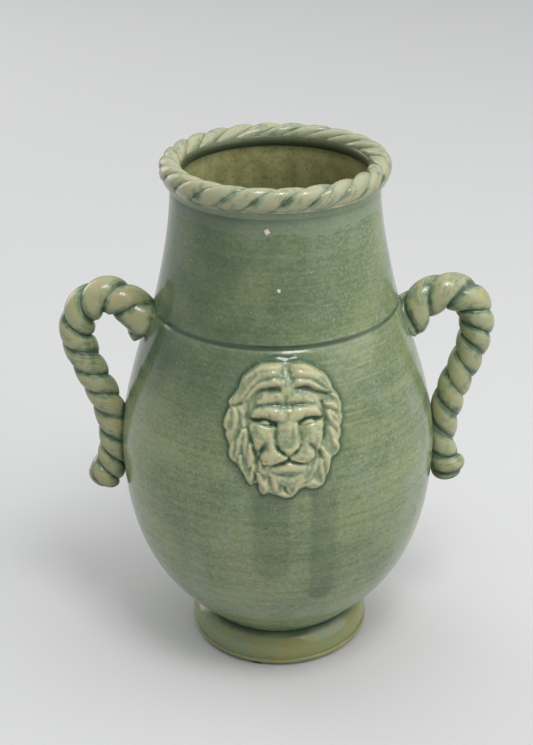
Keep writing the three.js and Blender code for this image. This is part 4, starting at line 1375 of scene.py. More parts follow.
# The lion's relief: each stroke is rows of across, up, half width and height, in mm.
# Locks of the mane, each with how many finer ridges it has.
MASK_LOCKS = (
    (2, (
        (-1.7, 37.5, 2.7, 6.4), (-5.5, 39.1, 4.3, 8.2), (-12.1, 38.4, 4.6, 8.0), (-17.7, 34.9, 4.3, 7.2),
        (-22.6, 29.7, 3.8, 6.4), (-26.1, 23.8, 3.5, 5.8), (-30.3, 19.0, 3.2, 5.4), (-32.8, 15.3, 1.9, 4.6),
    )),
    (1, (
        (-2.0, 33.7, 2.8, 7.0), (-6.3, 34.7, 4.3, 8.7), (-12.2, 33.3, 4.3, 8.2), (-17.1, 29.8, 3.4, 7.4),
        (-21.3, 25.2, 3.1, 6.6), (-25.5, 20.0, 3.0, 5.8), (-29.4, 16.5, 2.1, 5.0),
    )),
    (1, (
        (-2.0, 29.0, 3.0, 7.6), (-5.5, 30.3, 4.0, 9.1), (-10.8, 29.0, 4.0, 8.6), (-15.4, 26.6, 3.2, 7.8),
        (-18.6, 23.3, 2.8, 7.0), (-21.4, 20.0, 2.5, 6.2), (-23.8, 17.6, 1.9, 5.4),
    )),
    (2, (
        (5.3, 37.1, 2.7, 6.4), (8.9, 39.0, 4.3, 8.4), (14.7, 37.8, 4.6, 8.4), (20.1, 34.9, 4.3, 7.8),
        (24.5, 31.0, 4.0, 7.0), (27.8, 26.5, 3.4, 6.4), (30.8, 21.9, 3.1, 5.8), (33.8, 17.0, 2.8, 5.2),
        (35.4, 12.7, 1.6, 4.4),
    )),
    (1, (
        (5.5, 33.4, 2.8, 7.0), (8.8, 34.6, 4.3, 8.8), (14.6, 33.4, 4.3, 8.4), (19.7, 30.7, 3.2, 7.6),
        (23.4, 27.2, 2.8, 6.8), (27.1, 23.9, 2.4, 6.0), (30.1, 21.1, 1.6, 5.4),
    )),
    (1, (
        (5.4, 28.6, 2.8, 7.6), (8.3, 29.7, 3.8, 9.1), (12.8, 29.4, 3.4, 8.6), (16.5, 27.6, 2.8, 8.2),
        (19.9, 25.5, 2.5, 7.6), (24.0, 23.6, 1.8, 6.4), (28.1, 22.4, 1.2, 5.6),
    )),
    (1, (
        (-16.5, -24.7, 1.8, 5.4), (-15.2, -28.8, 2.5, 5.8), (-12.5, -32.4, 3.0, 5.6),
        (-13.1, -36.4, 2.4, 4.6),
    )),
    (0, ((-16.4, -31.3, 1.2, 4.8), (-15.8, -35.3, 1.3, 4.6), (-14.6, -37.4, 1.2, 4.2))),
    (1, (
        (-7.6, -26.2, 1.9, 5.8), (-6.7, -30.0, 2.5, 6.0), (-6.2, -34.0, 2.5, 5.6), (-5.8, -36.9, 1.8, 4.6),
    )),
    (0, (
        (-5.1, -37.5, 1.3, 4.6), (-1.3, -39.0, 1.3, 4.6), (2.8, -38.8, 1.5, 4.8), (5.0, -36.1, 1.9, 5.0),
        (6.7, -32.8, 2.1, 5.2),
    )),
    (0, ((-3.9, -28.3, 1.3, 5.4), (-1.7, -30.6, 1.6, 5.6), (0.5, -32.8, 1.3, 5.2), (1.6, -36.1, 1.5, 5.0))),
    (0, ((6.4, -31.5, 2.1, 5.2), (9.3, -29.3, 2.4, 5.6), (12.5, -28.4, 2.1, 5.4))),
    (1, (
        (12.4, -32.0, 2.1, 5.2), (16.3, -30.8, 3.1, 5.8), (20.1, -32.9, 2.4, 5.0), (22.7, -31.7, 1.6, 4.6),
        (23.3, -29.5, 1.2, 4.6),
    )),
    (0, ((-34.3, 11.8, 1.3, 4.8), (-35.5, 8.3, 2.1, 5.2), (-36.6, 4.7, 1.9, 4.8), (-37.1, 2.0, 1.0, 4.0))),
    (1, (
        (-29.8, 13.0, 1.9, 6.0), (-29.0, 8.6, 2.7, 6.4), (-29.6, 3.4, 2.8, 6.2), (-31.8, -1.2, 2.5, 5.6),
        (-34.4, -4.7, 1.5, 4.4),
    )),
    (0, ((-26.2, 14.0, 2.4, 5.2), (-24.6, 9.0, 2.5, 5.4), (-23.9, 3.9, 1.9, 5.6))),
    (1, (
        (-25.2, 0.5, 1.8, 6.2), (-26.7, -4.2, 2.5, 6.4), (-28.1, -9.5, 2.8, 6.0), (-29.1, -14.1, 2.5, 5.4),
        (-30.0, -17.5, 1.6, 4.8),
    )),
    (0, (
        (-23.0, 0.7, 2.1, 5.6), (-23.6, -5.0, 2.7, 5.8), (-23.8, -10.9, 2.5, 5.6),
        (-23.5, -14.8, 1.9, 5.2),
    )),
    (1, (
        (-30.2, -6.8, 2.1, 5.0), (-31.8, -10.3, 2.7, 5.4), (-33.4, -13.7, 2.5, 5.0),
        (-32.6, -17.3, 1.6, 4.4),
    )),
    (1, (
        (-26.9, -14.7, 1.9, 5.8), (-26.7, -18.4, 2.2, 6.0), (-26.5, -22.4, 2.2, 5.6),
        (-24.8, -26.4, 2.1, 5.2), (-22.7, -30.6, 1.3, 4.6),
    )),
    (1, (
        (-20.3, -8.3, 2.1, 6.8), (-20.4, -12.4, 3.0, 7.2), (-20.8, -16.3, 3.0, 6.8),
        (-21.3, -19.7, 2.2, 6.2),
    )),
    (1, (
        (-20.5, -17.6, 1.9, 6.8), (-19.0, -20.7, 2.1, 6.6), (-20.0, -24.3, 2.1, 6.0),
        (-21.0, -28.3, 1.8, 5.4), (-21.6, -31.2, 1.2, 4.6),
    )),
    (0, ((-15.2, -18.4, 2.4, 6.0), (-13.9, -22.4, 2.8, 5.8), (-11.0, -25.2, 2.4, 5.4))),
    (1, ((28.4, 20.0, 1.8, 5.8), (31.4, 17.8, 2.5, 6.0), (33.5, 14.5, 2.1, 5.4), (35.1, 11.9, 1.2, 4.4))),
    (1, (
        (24.2, 15.6, 1.9, 6.4), (27.9, 14.2, 2.5, 6.6), (31.6, 11.4, 2.7, 6.2), (34.1, 7.4, 2.1, 5.4),
        (35.2, 3.3, 1.2, 4.4),
    )),
    (0, ((26.8, 10.3, 1.9, 5.6), (29.8, 7.1, 2.5, 5.6), (32.8, 3.1, 1.8, 5.0))),
    (1, (
        (25.6, 9.5, 1.6, 6.2), (27.4, 5.4, 2.4, 6.4), (30.4, 2.4, 2.5, 6.2), (32.6, -0.9, 1.9, 5.4),
        (34.2, -4.5, 1.0, 4.2),
    )),
    (0, ((26.9, 0.6, 1.9, 5.0), (28.6, -3.9, 2.5, 5.2), (29.9, -7.1, 2.2, 5.2))),
    (1, ((28.5, -6.7, 1.9, 5.6), (30.5, -9.5, 2.8, 6.0), (32.3, -12.3, 2.5, 5.4), (31.3, -14.8, 1.5, 4.6))),
    (1, (
        (21.9, -10.9, 1.6, 6.6), (23.8, -14.9, 3.4, 7.2), (25.1, -19.5, 3.5, 6.8), (25.2, -24.7, 2.4, 5.6),
        (24.7, -27.4, 1.2, 4.6),
    )),
    (0, ((21.0, -17.9, 2.5, 5.8), (21.3, -23.4, 2.8, 5.5), (21.7, -28.7, 1.9, 5.0))),
    (0, ((18.2, -18.1, 2.7, 6.0), (16.1, -23.0, 3.1, 5.8), (13.9, -26.8, 2.5, 5.4))),
)
# The face's own swell, under its forms.
MASK_FACE = (
    (1.4, 18.1, 18.1, 6.0), (1.4, 5.4, 21.8, 6.8), (1.5, -5.4, 20.1, 7.0), (1.6, -17.0, 15.8, 6.6),
    (1.5, -22.4, 12.1, 5.8),
)
# Forehead, brows, nose, cheeks, muzzle, lip and jaw.
MASK_FORMS = (
    ((-15.1, 18.2, 1.6, 6.7), (-10.4, 19.8, 3.1, 7.2), (-5.6, 21.0, 4.0, 7.7), (-0.6, 21.5, 3.8, 7.7)),
    ((2.3, 21.4, 3.8, 7.7), (7.4, 20.5, 3.6, 7.5), (12.4, 19.0, 2.6, 7.1), (16.0, 18.1, 1.5, 6.7)),
    ((-18.2, 10.1, 1.7, 7.3), (-15.0, 12.1, 3.4, 8.5), (-10.6, 12.8, 4.0, 9.0)),
    ((-9.2, 12.8, 4.0, 9.1), (-5.0, 11.9, 4.8, 9.6), (-1.2, 9.5, 3.6, 9.4)),
    ((20.1, 10.1, 1.7, 7.3), (17.1, 12.2, 3.4, 8.5), (12.8, 13.0, 4.0, 9.0)),
    ((11.4, 13.0, 4.0, 9.1), (7.3, 12.0, 4.8, 9.6), (4.0, 9.6, 3.6, 9.4)),
    (
        (1.6, 12.2, 4.0, 9.0), (1.5, 8.5, 4.8, 9.4), (1.5, 4.1, 5.5, 9.7), (1.6, -0.9, 6.2, 10.0),
        (1.8, -5.8, 7.1, 10.5), (2.1, -9.1, 5.4, 10.6),
    ),
    ((-2.2, 5.2, 2.7, 8.9), (-2.1, -0.4, 3.1, 9.5), (-1.9, -5.3, 3.5, 10.0)),
    ((2.3, 4.7, 1.3, 9.6), (2.2, -0.9, 1.5, 10.1)),
    ((5.3, 5.2, 2.7, 8.9), (5.3, -0.4, 3.1, 9.5), (5.5, -5.0, 3.5, 10.0)),
    ((-1.4, -8.0, 3.1, 10.6), (2.0, -9.3, 3.5, 11.0), (5.8, -7.7, 3.1, 10.6)),
    ((-18.3, 2.9, 3.4, 6.9), (-14.2, 1.2, 6.7, 8.0), (-13.7, -3.2, 6.0, 8.2), (-16.1, -7.5, 3.1, 7.4)),
    ((20.5, 3.6, 3.4, 7.2), (16.6, 1.2, 6.7, 8.1), (16.9, -3.2, 6.0, 8.2), (19.5, -8.5, 3.1, 7.2)),
    ((-8.8, -0.7, 2.3, 8.0), (-8.1, -5.0, 2.7, 8.6), (-7.7, -8.7, 3.4, 9.0)),
    ((12.5, -1.3, 2.3, 8.0), (11.3, -5.6, 2.7, 8.6), (10.9, -9.3, 3.4, 9.0)),
    ((-11.8, -14.5, 3.4, 8.6), (-8.0, -12.9, 5.5, 9.6), (-3.6, -12.7, 4.3, 9.6), (-0.2, -13.5, 2.3, 9.0)),
    ((14.6, -13.8, 3.0, 8.8), (11.5, -12.2, 5.5, 9.8), (7.4, -12.7, 4.3, 9.6), (3.8, -13.8, 2.3, 9.0)),
    ((-7.2, -7.5, 3.2, 8.8), (-7.0, -11.1, 4.4, 9.4)),
    ((11.0, -7.5, 3.2, 8.8), (11.6, -10.5, 4.4, 9.4)),
    ((-13.3, -17.5, 0.9, 8.4), (-8.8, -17.0, 1.1, 9.0), (-3.3, -15.4, 1.1, 9.2), (0.4, -14.1, 0.9, 9.0)),
    ((3.3, -14.6, 0.9, 9.0), (7.3, -16.0, 1.1, 9.2), (12.1, -16.4, 1.1, 8.8), (15.0, -15.4, 0.9, 8.2)),
    (
        (-6.4, -21.5, 2.1, 6.8), (-2.4, -20.9, 3.0, 7.7), (1.8, -20.8, 3.2, 8.0), (6.2, -20.6, 3.0, 7.7),
        (9.9, -20.1, 1.9, 6.8),
    ),
    ((-9.2, -22.0, 3.4, 6.0), (1.3, -25.4, 4.7, 6.4), (12.1, -21.3, 3.4, 6.0)),
)
# Creases cut into them: the last number of a row is a depth.
MASK_CUTS = (
    (
        (-19.7, 20.2, 1.1, 1.4), (-16.5, 23.7, 1.3, 2.0), (-12.4, 25.8, 1.5, 2.4), (-7.5, 26.0, 1.5, 2.4),
        (-2.8, 25.4, 1.3, 1.4),
    ),
    (
        (6.9, 25.4, 1.3, 1.4), (10.3, 26.2, 1.5, 2.4), (14.4, 25.2, 1.5, 2.4), (18.5, 22.8, 1.3, 2.0),
        (24.6, 21.4, 1.1, 1.4),
    ),
    ((-32.1, 14.6, 0.9, 1.6), (-26.3, 16.1, 0.9, 2.0), (-21.8, 18.8, 0.9, 1.8)),
    ((-16.0, 15.8, 0.9, 0.3), (-9.8, 16.9, 1.1, 0.6), (-5.0, 17.5, 1.2, 0.9), (0.5, 18.1, 1.1, 0.4)),
    ((2.6, 17.8, 1.1, 0.4), (8.7, 17.0, 1.2, 0.9), (13.5, 16.5, 1.2, 0.8), (17.6, 15.8, 0.9, 0.3)),
    ((1.1, 24.7, 0.9, 0.9), (0.7, 20.9, 0.8, 1.0), (0.8, 15.8, 0.9, 0.9)),
    ((-10.0, 14.4, 0.7, 0.6), (-8.6, 10.0, 0.9, 1.4)),
    ((12.5, 14.4, 0.7, 0.6), (11.1, 10.0, 0.9, 1.4)),
    ((1.4, 15.0, 1.3, 1.0), (1.4, 10.7, 1.6, 0.9), (1.4, 7.5, 1.2, 0.4)),
    ((-20.4, 8.0, 0.9, 2.6), (-16.2, 7.6, 1.6, 4.8), (-10.7, 6.6, 2.1, 6.0), (-5.8, 5.6, 1.6, 4.8)),
    ((8.8, 6.1, 1.6, 4.8), (12.5, 7.1, 2.0, 5.8), (17.5, 7.5, 1.6, 5.0), (22.1, 7.9, 0.9, 2.6)),
    ((-6.2, -5.9, 0.8, 1.6), (-4.0, -8.8, 1.1, 3.0), (-1.3, -11.1, 1.1, 3.2), (0.9, -12.7, 0.8, 2.6)),
    ((8.4, -6.9, 0.8, 1.8), (6.5, -9.7, 1.1, 3.0), (4.1, -11.6, 0.9, 2.8), (2.5, -12.9, 0.8, 2.4)),
    ((1.7, -12.9, 0.7, 2.4), (1.6, -15.6, 0.8, 2.4)),
    ((1.6, -15.6, 0.8, 2.4), (-1.7, -17.5, 0.9, 2.8), (-5.6, -18.8, 0.9, 2.4), (-8.6, -19.4, 0.7, 1.2)),
    ((1.6, -15.6, 0.8, 2.4), (5.3, -17.4, 0.9, 2.8), (9.4, -18.4, 0.9, 2.4), (12.4, -18.5, 0.7, 1.2)),
    ((-11.7, -6.2, 1.1, 2.4), (-13.4, -9.1, 1.7, 4.0), (-14.7, -12.0, 1.2, 2.6), (-16.3, -15.1, 0.9, 1.8)),
    ((14.4, -6.5, 0.9, 1.4), (16.8, -9.7, 0.9, 1.8), (18.0, -13.6, 0.9, 1.6)),
    ((-5.1, 4.6, 1.5, 1.2), (-5.8, -0.2, 1.5, 1.0), (-6.0, -4.0, 1.1, 0.6)),
    ((8.2, 4.6, 1.5, 1.2), (8.6, -0.8, 1.5, 0.9), (8.6, -4.3, 1.1, 0.6)),
    (
        (-20.9, 15.8, 0.9, 1.4), (-22.2, 9.4, 1.2, 1.8), (-22.0, 3.0, 1.2, 1.6), (-21.3, -3.4, 1.2, 1.5),
        (-19.1, -8.5, 1.2, 1.7), (-17.6, -14.8, 1.2, 2.0), (-16.6, -19.3, 0.9, 1.5),
    ),
    (
        (21.8, 17.0, 0.9, 1.5), (23.5, 12.6, 1.1, 1.9), (23.5, 5.6, 1.2, 2.2), (23.7, -0.8, 1.2, 1.9),
        (21.7, -7.2, 1.1, 1.5), (19.4, -13.6, 1.1, 1.3),
    ),
    ((-7.6, -23.5, 0.9, 1.4), (-3.1, -25.0, 1.2, 2.2), (3.0, -25.5, 1.2, 2.2), (8.6, -24.0, 1.1, 1.6)),
    ((-1.1, -34.6, 1.6, 2.4), (-0.1, -36.2, 1.6, 2.6)),
    ((-2.5, -32.0, 0.8, 1.4), (-0.7, -33.1, 0.9, 1.6)),
    ((-19.0, -23.4, 0.9, 1.6), (-18.6, -26.9, 1.0, 2.0), (-19.0, -29.5, 0.9, 1.6)),
    ((-10.4, -26.9, 0.9, 1.8), (-9.4, -30.8, 0.9, 2.0), (-9.4, -34.3, 0.8, 1.4)),
    ((-3.6, -30.8, 0.7, 1.6), (-3.9, -34.6, 0.8, 1.4)),
)
# The parting, whose rows give its floor.
MASK_VALLEYS = (
    (
        (1.3, 41.2, 3.2, 1.4), (1.5, 35.6, 3.1, 4.0), (1.8, 31.6, 3.2, 6.0), (1.9, 27.0, 4.7, 8.0),
        (1.6, 24.1, 3.0, 8.2),
    ),
)
# Eyeballs in their sockets.
MASK_EYES = (
    ((-14.3, 6.2, 0.9, 6.6), (-11.7, 6.6, 1.7, 7.8), (-9.3, 6.0, 0.9, 6.6)),
    ((10.3, 5.7, 0.9, 6.6), (13.6, 6.5, 1.7, 7.8), (16.6, 6.4, 0.9, 6.6)),
)
# Outline, anticlockwise from the parting.
MASK_OUTLINE = (
    (1.7, 40.8), (-2.4, 41.6), (-7.9, 41.8), (-12.7, 41.2), (-16.5, 39.5), (-20.7, 36.1), (-24.6, 32.7),
    (-26.7, 28.6), (-28.7, 24.4), (-31.5, 20.5), (-34.3, 16.6), (-33.7, 13.8), (-34.9, 11.9), (-36.5, 8.5),
    (-37.8, 4.9), (-38.2, 1.6), (-36.8, -0.5), (-37.0, -3.2), (-35.7, -6.5), (-34.6, -9.4), (-35.3, -13.3),
    (-34.8, -16.6), (-32.4, -19.2), (-29.6, -20.8), (-27.9, -24.0), (-25.8, -27.3), (-23.8, -31.0),
    (-21.8, -33.5), (-20.1, -32.1), (-17.4, -31.7), (-17.0, -35.1), (-15.9, -37.8), (-14.2, -39.2),
    (-10.6, -38.1), (-7.5, -38.8), (-4.1, -40.1), (-0.0, -41.2), (3.6, -40.9), (6.0, -38.8), (8.5, -36.2),
    (11.7, -34.9), (14.9, -36.0), (18.6, -36.2), (22.4, -35.1), (24.1, -32.6), (25.2, -29.7),
    (26.9, -27.1), (28.0, -22.7), (28.9, -18.3), (31.5, -16.9), (34.0, -14.7), (34.8, -12.0), (34.0, -8.4),
    (35.2, -5.8), (35.5, -2.6), (34.9, 0.0), (36.0, 2.3), (36.5, 5.5), (35.6, 9.1), (36.2, 12.0),
    (35.0, 16.4), (33.0, 20.2), (30.4, 23.9), (28.9, 28.0), (26.2, 31.6), (23.0, 34.7), (18.9, 37.6),
    (15.2, 40.2), (11.3, 41.5), (6.5, 41.6),
)


def merged(first: np.ndarray, second: np.ndarray, blend: float) -> np.ndarray:
    """The higher of two heights, rounded off where they meet within blend of each other."""
    share = np.clip(0.5 + 0.5 * (second - first) / blend, 0, 1)
    return first + (second - first) * share + blend * share * (1 - share) / 2


def bulge(off: np.ndarray, height: np.ndarray, toe: float) -> np.ndarray:
    """A round-backed stroke's height, where off runs from -1 to 1 across it."""
    return np.where(np.abs(off) < 1, toe + (height - toe) * np.sqrt(np.maximum(1 - off * off, 0)), 0)


def stray(first: np.ndarray, second: np.ndarray, waves: tuple[float, float, float]) -> np.ndarray:
    """How a hand-drawn line strays, from -1 to 1: a wave along first, swung by a slower one along second."""
    quick, swing, slow = waves
    return np.sin(quick * first + swing * np.sin(slow * second))


def rounded(knots: np.ndarray, count: int = 5) -> np.ndarray:
    """A smooth line through a stroke's rows, each stretch paced alike.

    Args:
        knots: The rows.
        count: Samples to a stretch.

    Returns:
        Rows along the line.
    """
    rows = padded(knots)
    line = []
    for a, b, c, d in zip(rows, rows[1:], rows[2:], rows[3:]):
        for t in np.arange(count) / count:
            line.append(b + 0.5 * t * (c - a + t * (2 * a - 5 * b + 4 * c - d + t * (3 * (b - c) + d - a))))
    return np.array([*line, knots[-1]])


def nearest(stroke: tuple, across: np.ndarray, up: np.ndarray) -> tuple[np.ndarray, np.ndarray]:
    """Finds the nearest place on a stroke.

    Args:
        stroke: Rows of across, up, half width and height.
        across: Places to the viewer's right of the middle.
        up: Places above the middle.

    Returns:
        The signed distance off the stroke in half widths, and the stroke's height there.
    """
    knots = np.array(stroke, float)
    line = rounded(knots) if len(knots) > 2 else knots
    best = np.full(across.shape, np.inf)
    height = np.zeros(across.shape)
    for start, end in zip(line, line[1:]):
        run = end - start
        share = ((across - start[0]) * run[0] + (up - start[1]) * run[1]) / (run[0] ** 2 + run[1] ** 2)
        share = np.clip(share, 0, 1)
        off_x = across - start[0] - run[0] * share
        off_y = up - start[1] - run[1] * share
        turn = np.where(run[0] * off_y - run[1] * off_x < 0, -1.0, 1.0)
        off = turn * np.hypot(off_x, off_y) / (start[2] + run[2] * share)
        closer = np.abs(off) < np.abs(best)
        best = np.where(closer, off, best)
        height = np.where(closer, start[3] + run[3] * share, height)
    return best, height


@dataclass
class LionMask:
    """The lion mask, a sprig pressed in a mould and luted on the belly.

    Sizes are in mm, from the mask's middle.
    """

    drop: float = 48.2
    edge: float = 2.4
    ground: float = 4.2
    toe: float = 2.4
    ridge: float = 0.4
    lock_blend: float = 1.3
    form_blend: float = 1.5
    cut_share: float = 0.6
    cut_slope: float = 1.2
    valley_slope: float = 2.5
    eye_toe: float = 3.5
    root: float = 1.5
    floor: float = 1.6
    border: float = 2.2
    skirt: float = 1.9
    skirt_inside: float = 0.7
    skirt_slope: float = 1.6
    skirt_end: float = 0.02
    top_skirt: float = 2.6
    top_spread: float = 0.25
    cells: int = 180
    outline_points: int = 12
    smoothing: int = 3
    trim: float = 0.982
    # The halo: glaze pooled round the mask, with a painted shadow widening it on the viewer's right.
    halo_gap: float = 0.5
    halo_reach: tuple[float, float] = (1.4, 2.8)
    halo_turn: float = 20.0
    halo_pool_and_shadow: tuple[float, float] = (0.7, 0.3)
    halo_fade: tuple[float, float] = (25.0, 40.0)
    warp: float = 0.2
    warp_on_face: float = 0.25
    warp_from: tuple[float, float] = (0.6, 1.2)
    warp_across: tuple[float, float, float] = (0.55, 1.5, 0.3)
    warp_up: tuple[float, float, float] = (0.6, 1.3, 0.25)
    usual_pool: float = 0.32
    fine_pool: float = 0.52
    fine_passes: int = 20
    broad_pool: float = 0.12
    broad_passes: int = 130
    outline_pool: float = 0.6

    def build(self) -> list[Piece]:
        """Builds the mask.

        Returns:
            The piece.
        """
        bm = bmesh.new()
        bmesh.ops.create_grid(bm, x_segments=self.cells, y_segments=self.cells, size=1.0)
        bm.verts.ensure_lookup_table()
        flat = np.array([vert.co for vert in bm.verts])
        x, y = flat[:, 0], flat[:, 1]
        disc = np.stack([x * np.sqrt(1 - y * y / 2), y * np.sqrt(1 - x * x / 2)], axis=1)
        share = np.linalg.norm(disc, axis=1)
        around = np.arctan2(disc[:, 1], disc[:, 0])
        skirt = self.skirt + self.top_skirt * np.exp(-(((around - math.pi / 2) / self.top_spread) ** 2))
        reach = self.outline_reach(around) + skirt - self.skirt_inside
        spots = disc * reach[:, None]
        heights = self.relief(spots[:, 0], spots[:, 1])
        inset = (1 - share) * reach - skirt
        heights = self.edge + (heights - self.edge) * smoothstep(0, self.border, inset)
        falling = self.edge * np.maximum(1 + inset / skirt, self.skirt_end) ** self.skirt_slope
        heights = self.trim * self.softened(np.where(inset < 0, falling, heights), self.smoothing)
        pool = self.pooling(heights, inset)
        for vert, place in zip(bm.verts, self.on_belly(spots, heights)):
            vert.co = Vector(place) * MM
        sunk = self.close(bm)
        depths = np.concatenate([pool, np.ones(sunk)])
        return [make_piece(bm, "lion_mask_glazed", ["lion_mask"], [MASK_GLAZE.material()], depths)]

    def close(self, bm: Mesh) -> int:
        """Carries the mask's edge into the wall and closes its back.

        Args:
            bm: The mask's face, in metres and in place.

        Returns:
            How many vertices were added.
        """
        rim = [edge for edge in bm.edges if edge.is_boundary]
        made = bmesh.ops.extrude_edge_only(bm, edges=rim)["geom"]
        below = [item for item in made if isinstance(item, bmesh.types.BMVert)]
        for vert in below:
            outward = Vector((vert.co.x, vert.co.y, 0))
            keep = float(FORM.radius(vert.co.z / MM)) - self.root
            vert.co = outward.normalized() * keep * MM + Vector((0, 0, vert.co.z))
        bottom = [item for item in made if isinstance(item, bmesh.types.BMEdge) and item.is_boundary]
        bmesh.ops.holes_fill(bm, edges=bottom, sides=0)
        bmesh.ops.recalc_face_normals(bm, faces=bm.faces)
        return len(below)

    def outline_reach(self, angles: np.ndarray) -> np.ndarray:
        """The outline's distance from the middle.

        Args:
            angles: Directions from the middle, in radians.

        Returns:
            A distance for each.
        """
        closed = np.array([*MASK_OUTLINE[-2:], *MASK_OUTLINE, *MASK_OUTLINE[:3]])
        line = through(closed, self.outline_points)
        around = np.arctan2(line[:, 1], line[:, 0])
        order = np.argsort(around)
        return np.interp(angles, around[order], np.linalg.norm(line, axis=1)[order], period=2 * math.pi)

    def halo(self, points: np.ndarray) -> np.ndarray:
        """How deep the glaze pools on the belly round the mask, with painted shadow reaching further on the
        viewer's right and less towards the top.

        Args:
            points: Vertices of the body, in mm.

        Returns:
            A depth from 0 to 1 for each.
        """
        across = np.arctan2(points[:, 0], -points[:, 1]) * np.hypot(points[:, 0], points[:, 1])
        up = points[:, 2] - (FORM.seam_height - self.drop)
        off = np.hypot(across, up) - self.outline_reach(np.arctan2(up, across)) - self.halo_gap
        left, right = self.halo_reach
        reach = left + (right - left) * smoothstep(-self.halo_turn, self.halo_turn, across)
        most, least = self.halo_pool_and_shadow
        strength = most - (most - least) * smoothstep(*self.halo_fade, up)
        return strength * np.exp(-((np.maximum(off, 0) / reach) ** 2)) * (points[:, 1] < 0)

    def on_belly(self, spots: np.ndarray, heights: np.ndarray) -> np.ndarray:
        """Lays points of the mask on the belly.

        Args:
            spots: Places across and up from the mask's middle.
            heights: Their heights square off the belly.

        Returns:
            Points in mm.
        """
        level = FORM.seam_height - self.drop + spots[:, 1]
        radius = FORM.radius(level)
        lean = np.arctan(FORM.radius(level - 0.5) - FORM.radius(level + 0.5))
        angle = spots[:, 0] / radius
        out = radius + heights * np.cos(lean)
        return np.stack([out * np.sin(angle), -out * np.cos(angle), level + heights * np.sin(lean)], axis=1)

    def relief(self, across: np.ndarray, up: np.ndarray) -> np.ndarray:
        """The carved height at places on the mask.

        Args:
            across: Places to the viewer's right of the middle.
            up: Places above the middle.

        Returns:
            Heights above the belly.
        """
        off, height = nearest(MASK_FACE, across, up)
        swell = self.ground + (height - self.ground) * np.maximum(1 - off**4, 0)
        on_mane = smoothstep(*self.warp_from, np.abs(off))
        wave = self.warp * (self.warp_on_face + (1 - self.warp_on_face) * on_mane)
        across = across + wave * stray(up, across, self.warp_across)
        up = up + wave * stray(across, up, self.warp_up)
        lift = swell
        for ridges, stroke in MASK_LOCKS:
            off, height = nearest(stroke, across, up)
            ripple = self.ridge * (np.cos(math.pi * (ridges * off + (ridges + 1) % 2)) - 1) if ridges else 0
            lift = merged(lift, bulge(off, height + ripple, self.toe), self.lock_blend)
        for stroke in MASK_FORMS:
            off, height = nearest(stroke, across, up)
            form = swell + (height - swell) * np.maximum(1 - off * off, 0)
            lift = merged(lift, np.where(np.abs(off) < 1, form, 0), self.form_blend)
        for stroke in MASK_CUTS:
            off, depth = nearest(stroke, across, up)
            lift = lift - self.cut_share * depth * np.exp(-self.cut_slope * off * off)
        for stroke in MASK_VALLEYS:
            off, height = nearest(stroke, across, up)
            sides = height + (lift - height) * np.abs(off) ** self.valley_slope
            lift = np.where(np.abs(off) < 1, sides, lift)
        for stroke in MASK_EYES:
            off, height = nearest(stroke, across, up)
            lift = np.maximum(lift, bulge(off, height, self.eye_toe))
        return np.maximum(lift, self.floor)

    def softened(self, values: np.ndarray, passes: int) -> np.ndarray:
        """Evens out values over the grid, each with its four neighbours.

        Args:
            values: A value for each vertex of the grid.
            passes: How often.

        Returns:
            The evened values.
        """
        side = self.cells + 1
        grid = values.reshape(side, side)
        for _ in range(passes):
            wide = np.pad(grid, 1, mode="edge")
            grid = (2 * grid + wide[:-2, 1:-1] + wide[2:, 1:-1] + wide[1:-1, :-2] + wide[1:-1, 2:]) / 6
        return grid.ravel()

    def pooling(self, heights: np.ndarray, inset: np.ndarray) -> np.ndarray:
        """How deep the glaze pools: less on forms that stand out from around them, more between them.

        Args:
            heights: Heights over the grid.
            inset: Distances in from the outline.

        Returns:
            Depths from 0 to 1.
        """
        fine = heights - self.softened(heights, self.fine_passes)
        broad = heights - self.softened(heights, self.broad_passes)
        depth = self.usual_pool - self.fine_pool * fine - self.broad_pool * broad
        depth = np.maximum(depth, 1 - smoothstep(-self.outline_pool, self.outline_pool, inset))
        return np.clip(depth, 0, 1)


@dataclass
class FeltPads:
    """Three felt pads under the foot. Sizes in mm."""

    count: int = 3
    radius: float = 6.45
    thickness: float = 1.6
    ring: float = 55.0
    first_angle: float = -18.0
    edge: float = 0.3
    edge_segments: int = 3
    segments: int = 40

    def build(self) -> list[Piece]:
        """Builds the pads.

        Returns:
            The pieces.
        """
        pieces = []
        felt = Felt().material()
        for number in range(self.count):
            angle = math.radians(self.first_angle + 360 * number / self.count)
            middle = Vector((self.ring * math.sin(angle), -self.ring * math.cos(angle), self.thickness / 2))
            bm = bmesh.new()
            bmesh.ops.create_cone(
                bm,
                cap_ends=True,
                segments=self.segments,
                radius1=self.radius * MM,
                radius2=self.radius * MM,
                depth=self.thickness * MM,
                matrix=Matrix.Translation(middle * MM),
            )
            level = [abs(edge.verts[0].co.z - edge.verts[1].co.z) < TOLERANCE * MM for edge in bm.edges]
            bmesh.ops.bevel(
                bm,
                geom=[edge for edge, flat in zip(bm.edges, level) if flat],
                offset=self.edge * MM,
                offset_type="OFFSET",
                affect="EDGES",
                segments=self.edge_segments,
                profile=0.5,
                material=-1,
            )
            name = f"felt_pad_{number + 1}"
            pieces.append(make_piece(bm, f"{name}_pressed", [name], [felt]))
        return pieces


@dataclass(frozen=True)
class Panel:
    """A soft light panel that faces the urn. Places and sizes in mm, power in watts."""

    name: str
    place: tuple[float, float, float]
    size: tuple[float, float]
    power: float

    def build(self, target: Vector) -> None:
        """Hangs the panel.

        Args:
            target: What it faces.
        """
        lamp = bpy.data.lights.new(self.name, "AREA")
        lamp.shape = "RECTANGLE"
        lamp.size, lamp.size_y = self.size[0] * MM, self.size[1] * MM
        lamp.energy = self.power
        holder = bpy.data.objects.new(self.name, lamp)
        holder.location = Vector(self.place) * MM
        holder.rotation_euler = (target - Vector(self.place)).to_track_quat("-Z", "Y").to_euler()
        bpy.context.scene.collection.objects.link(holder)


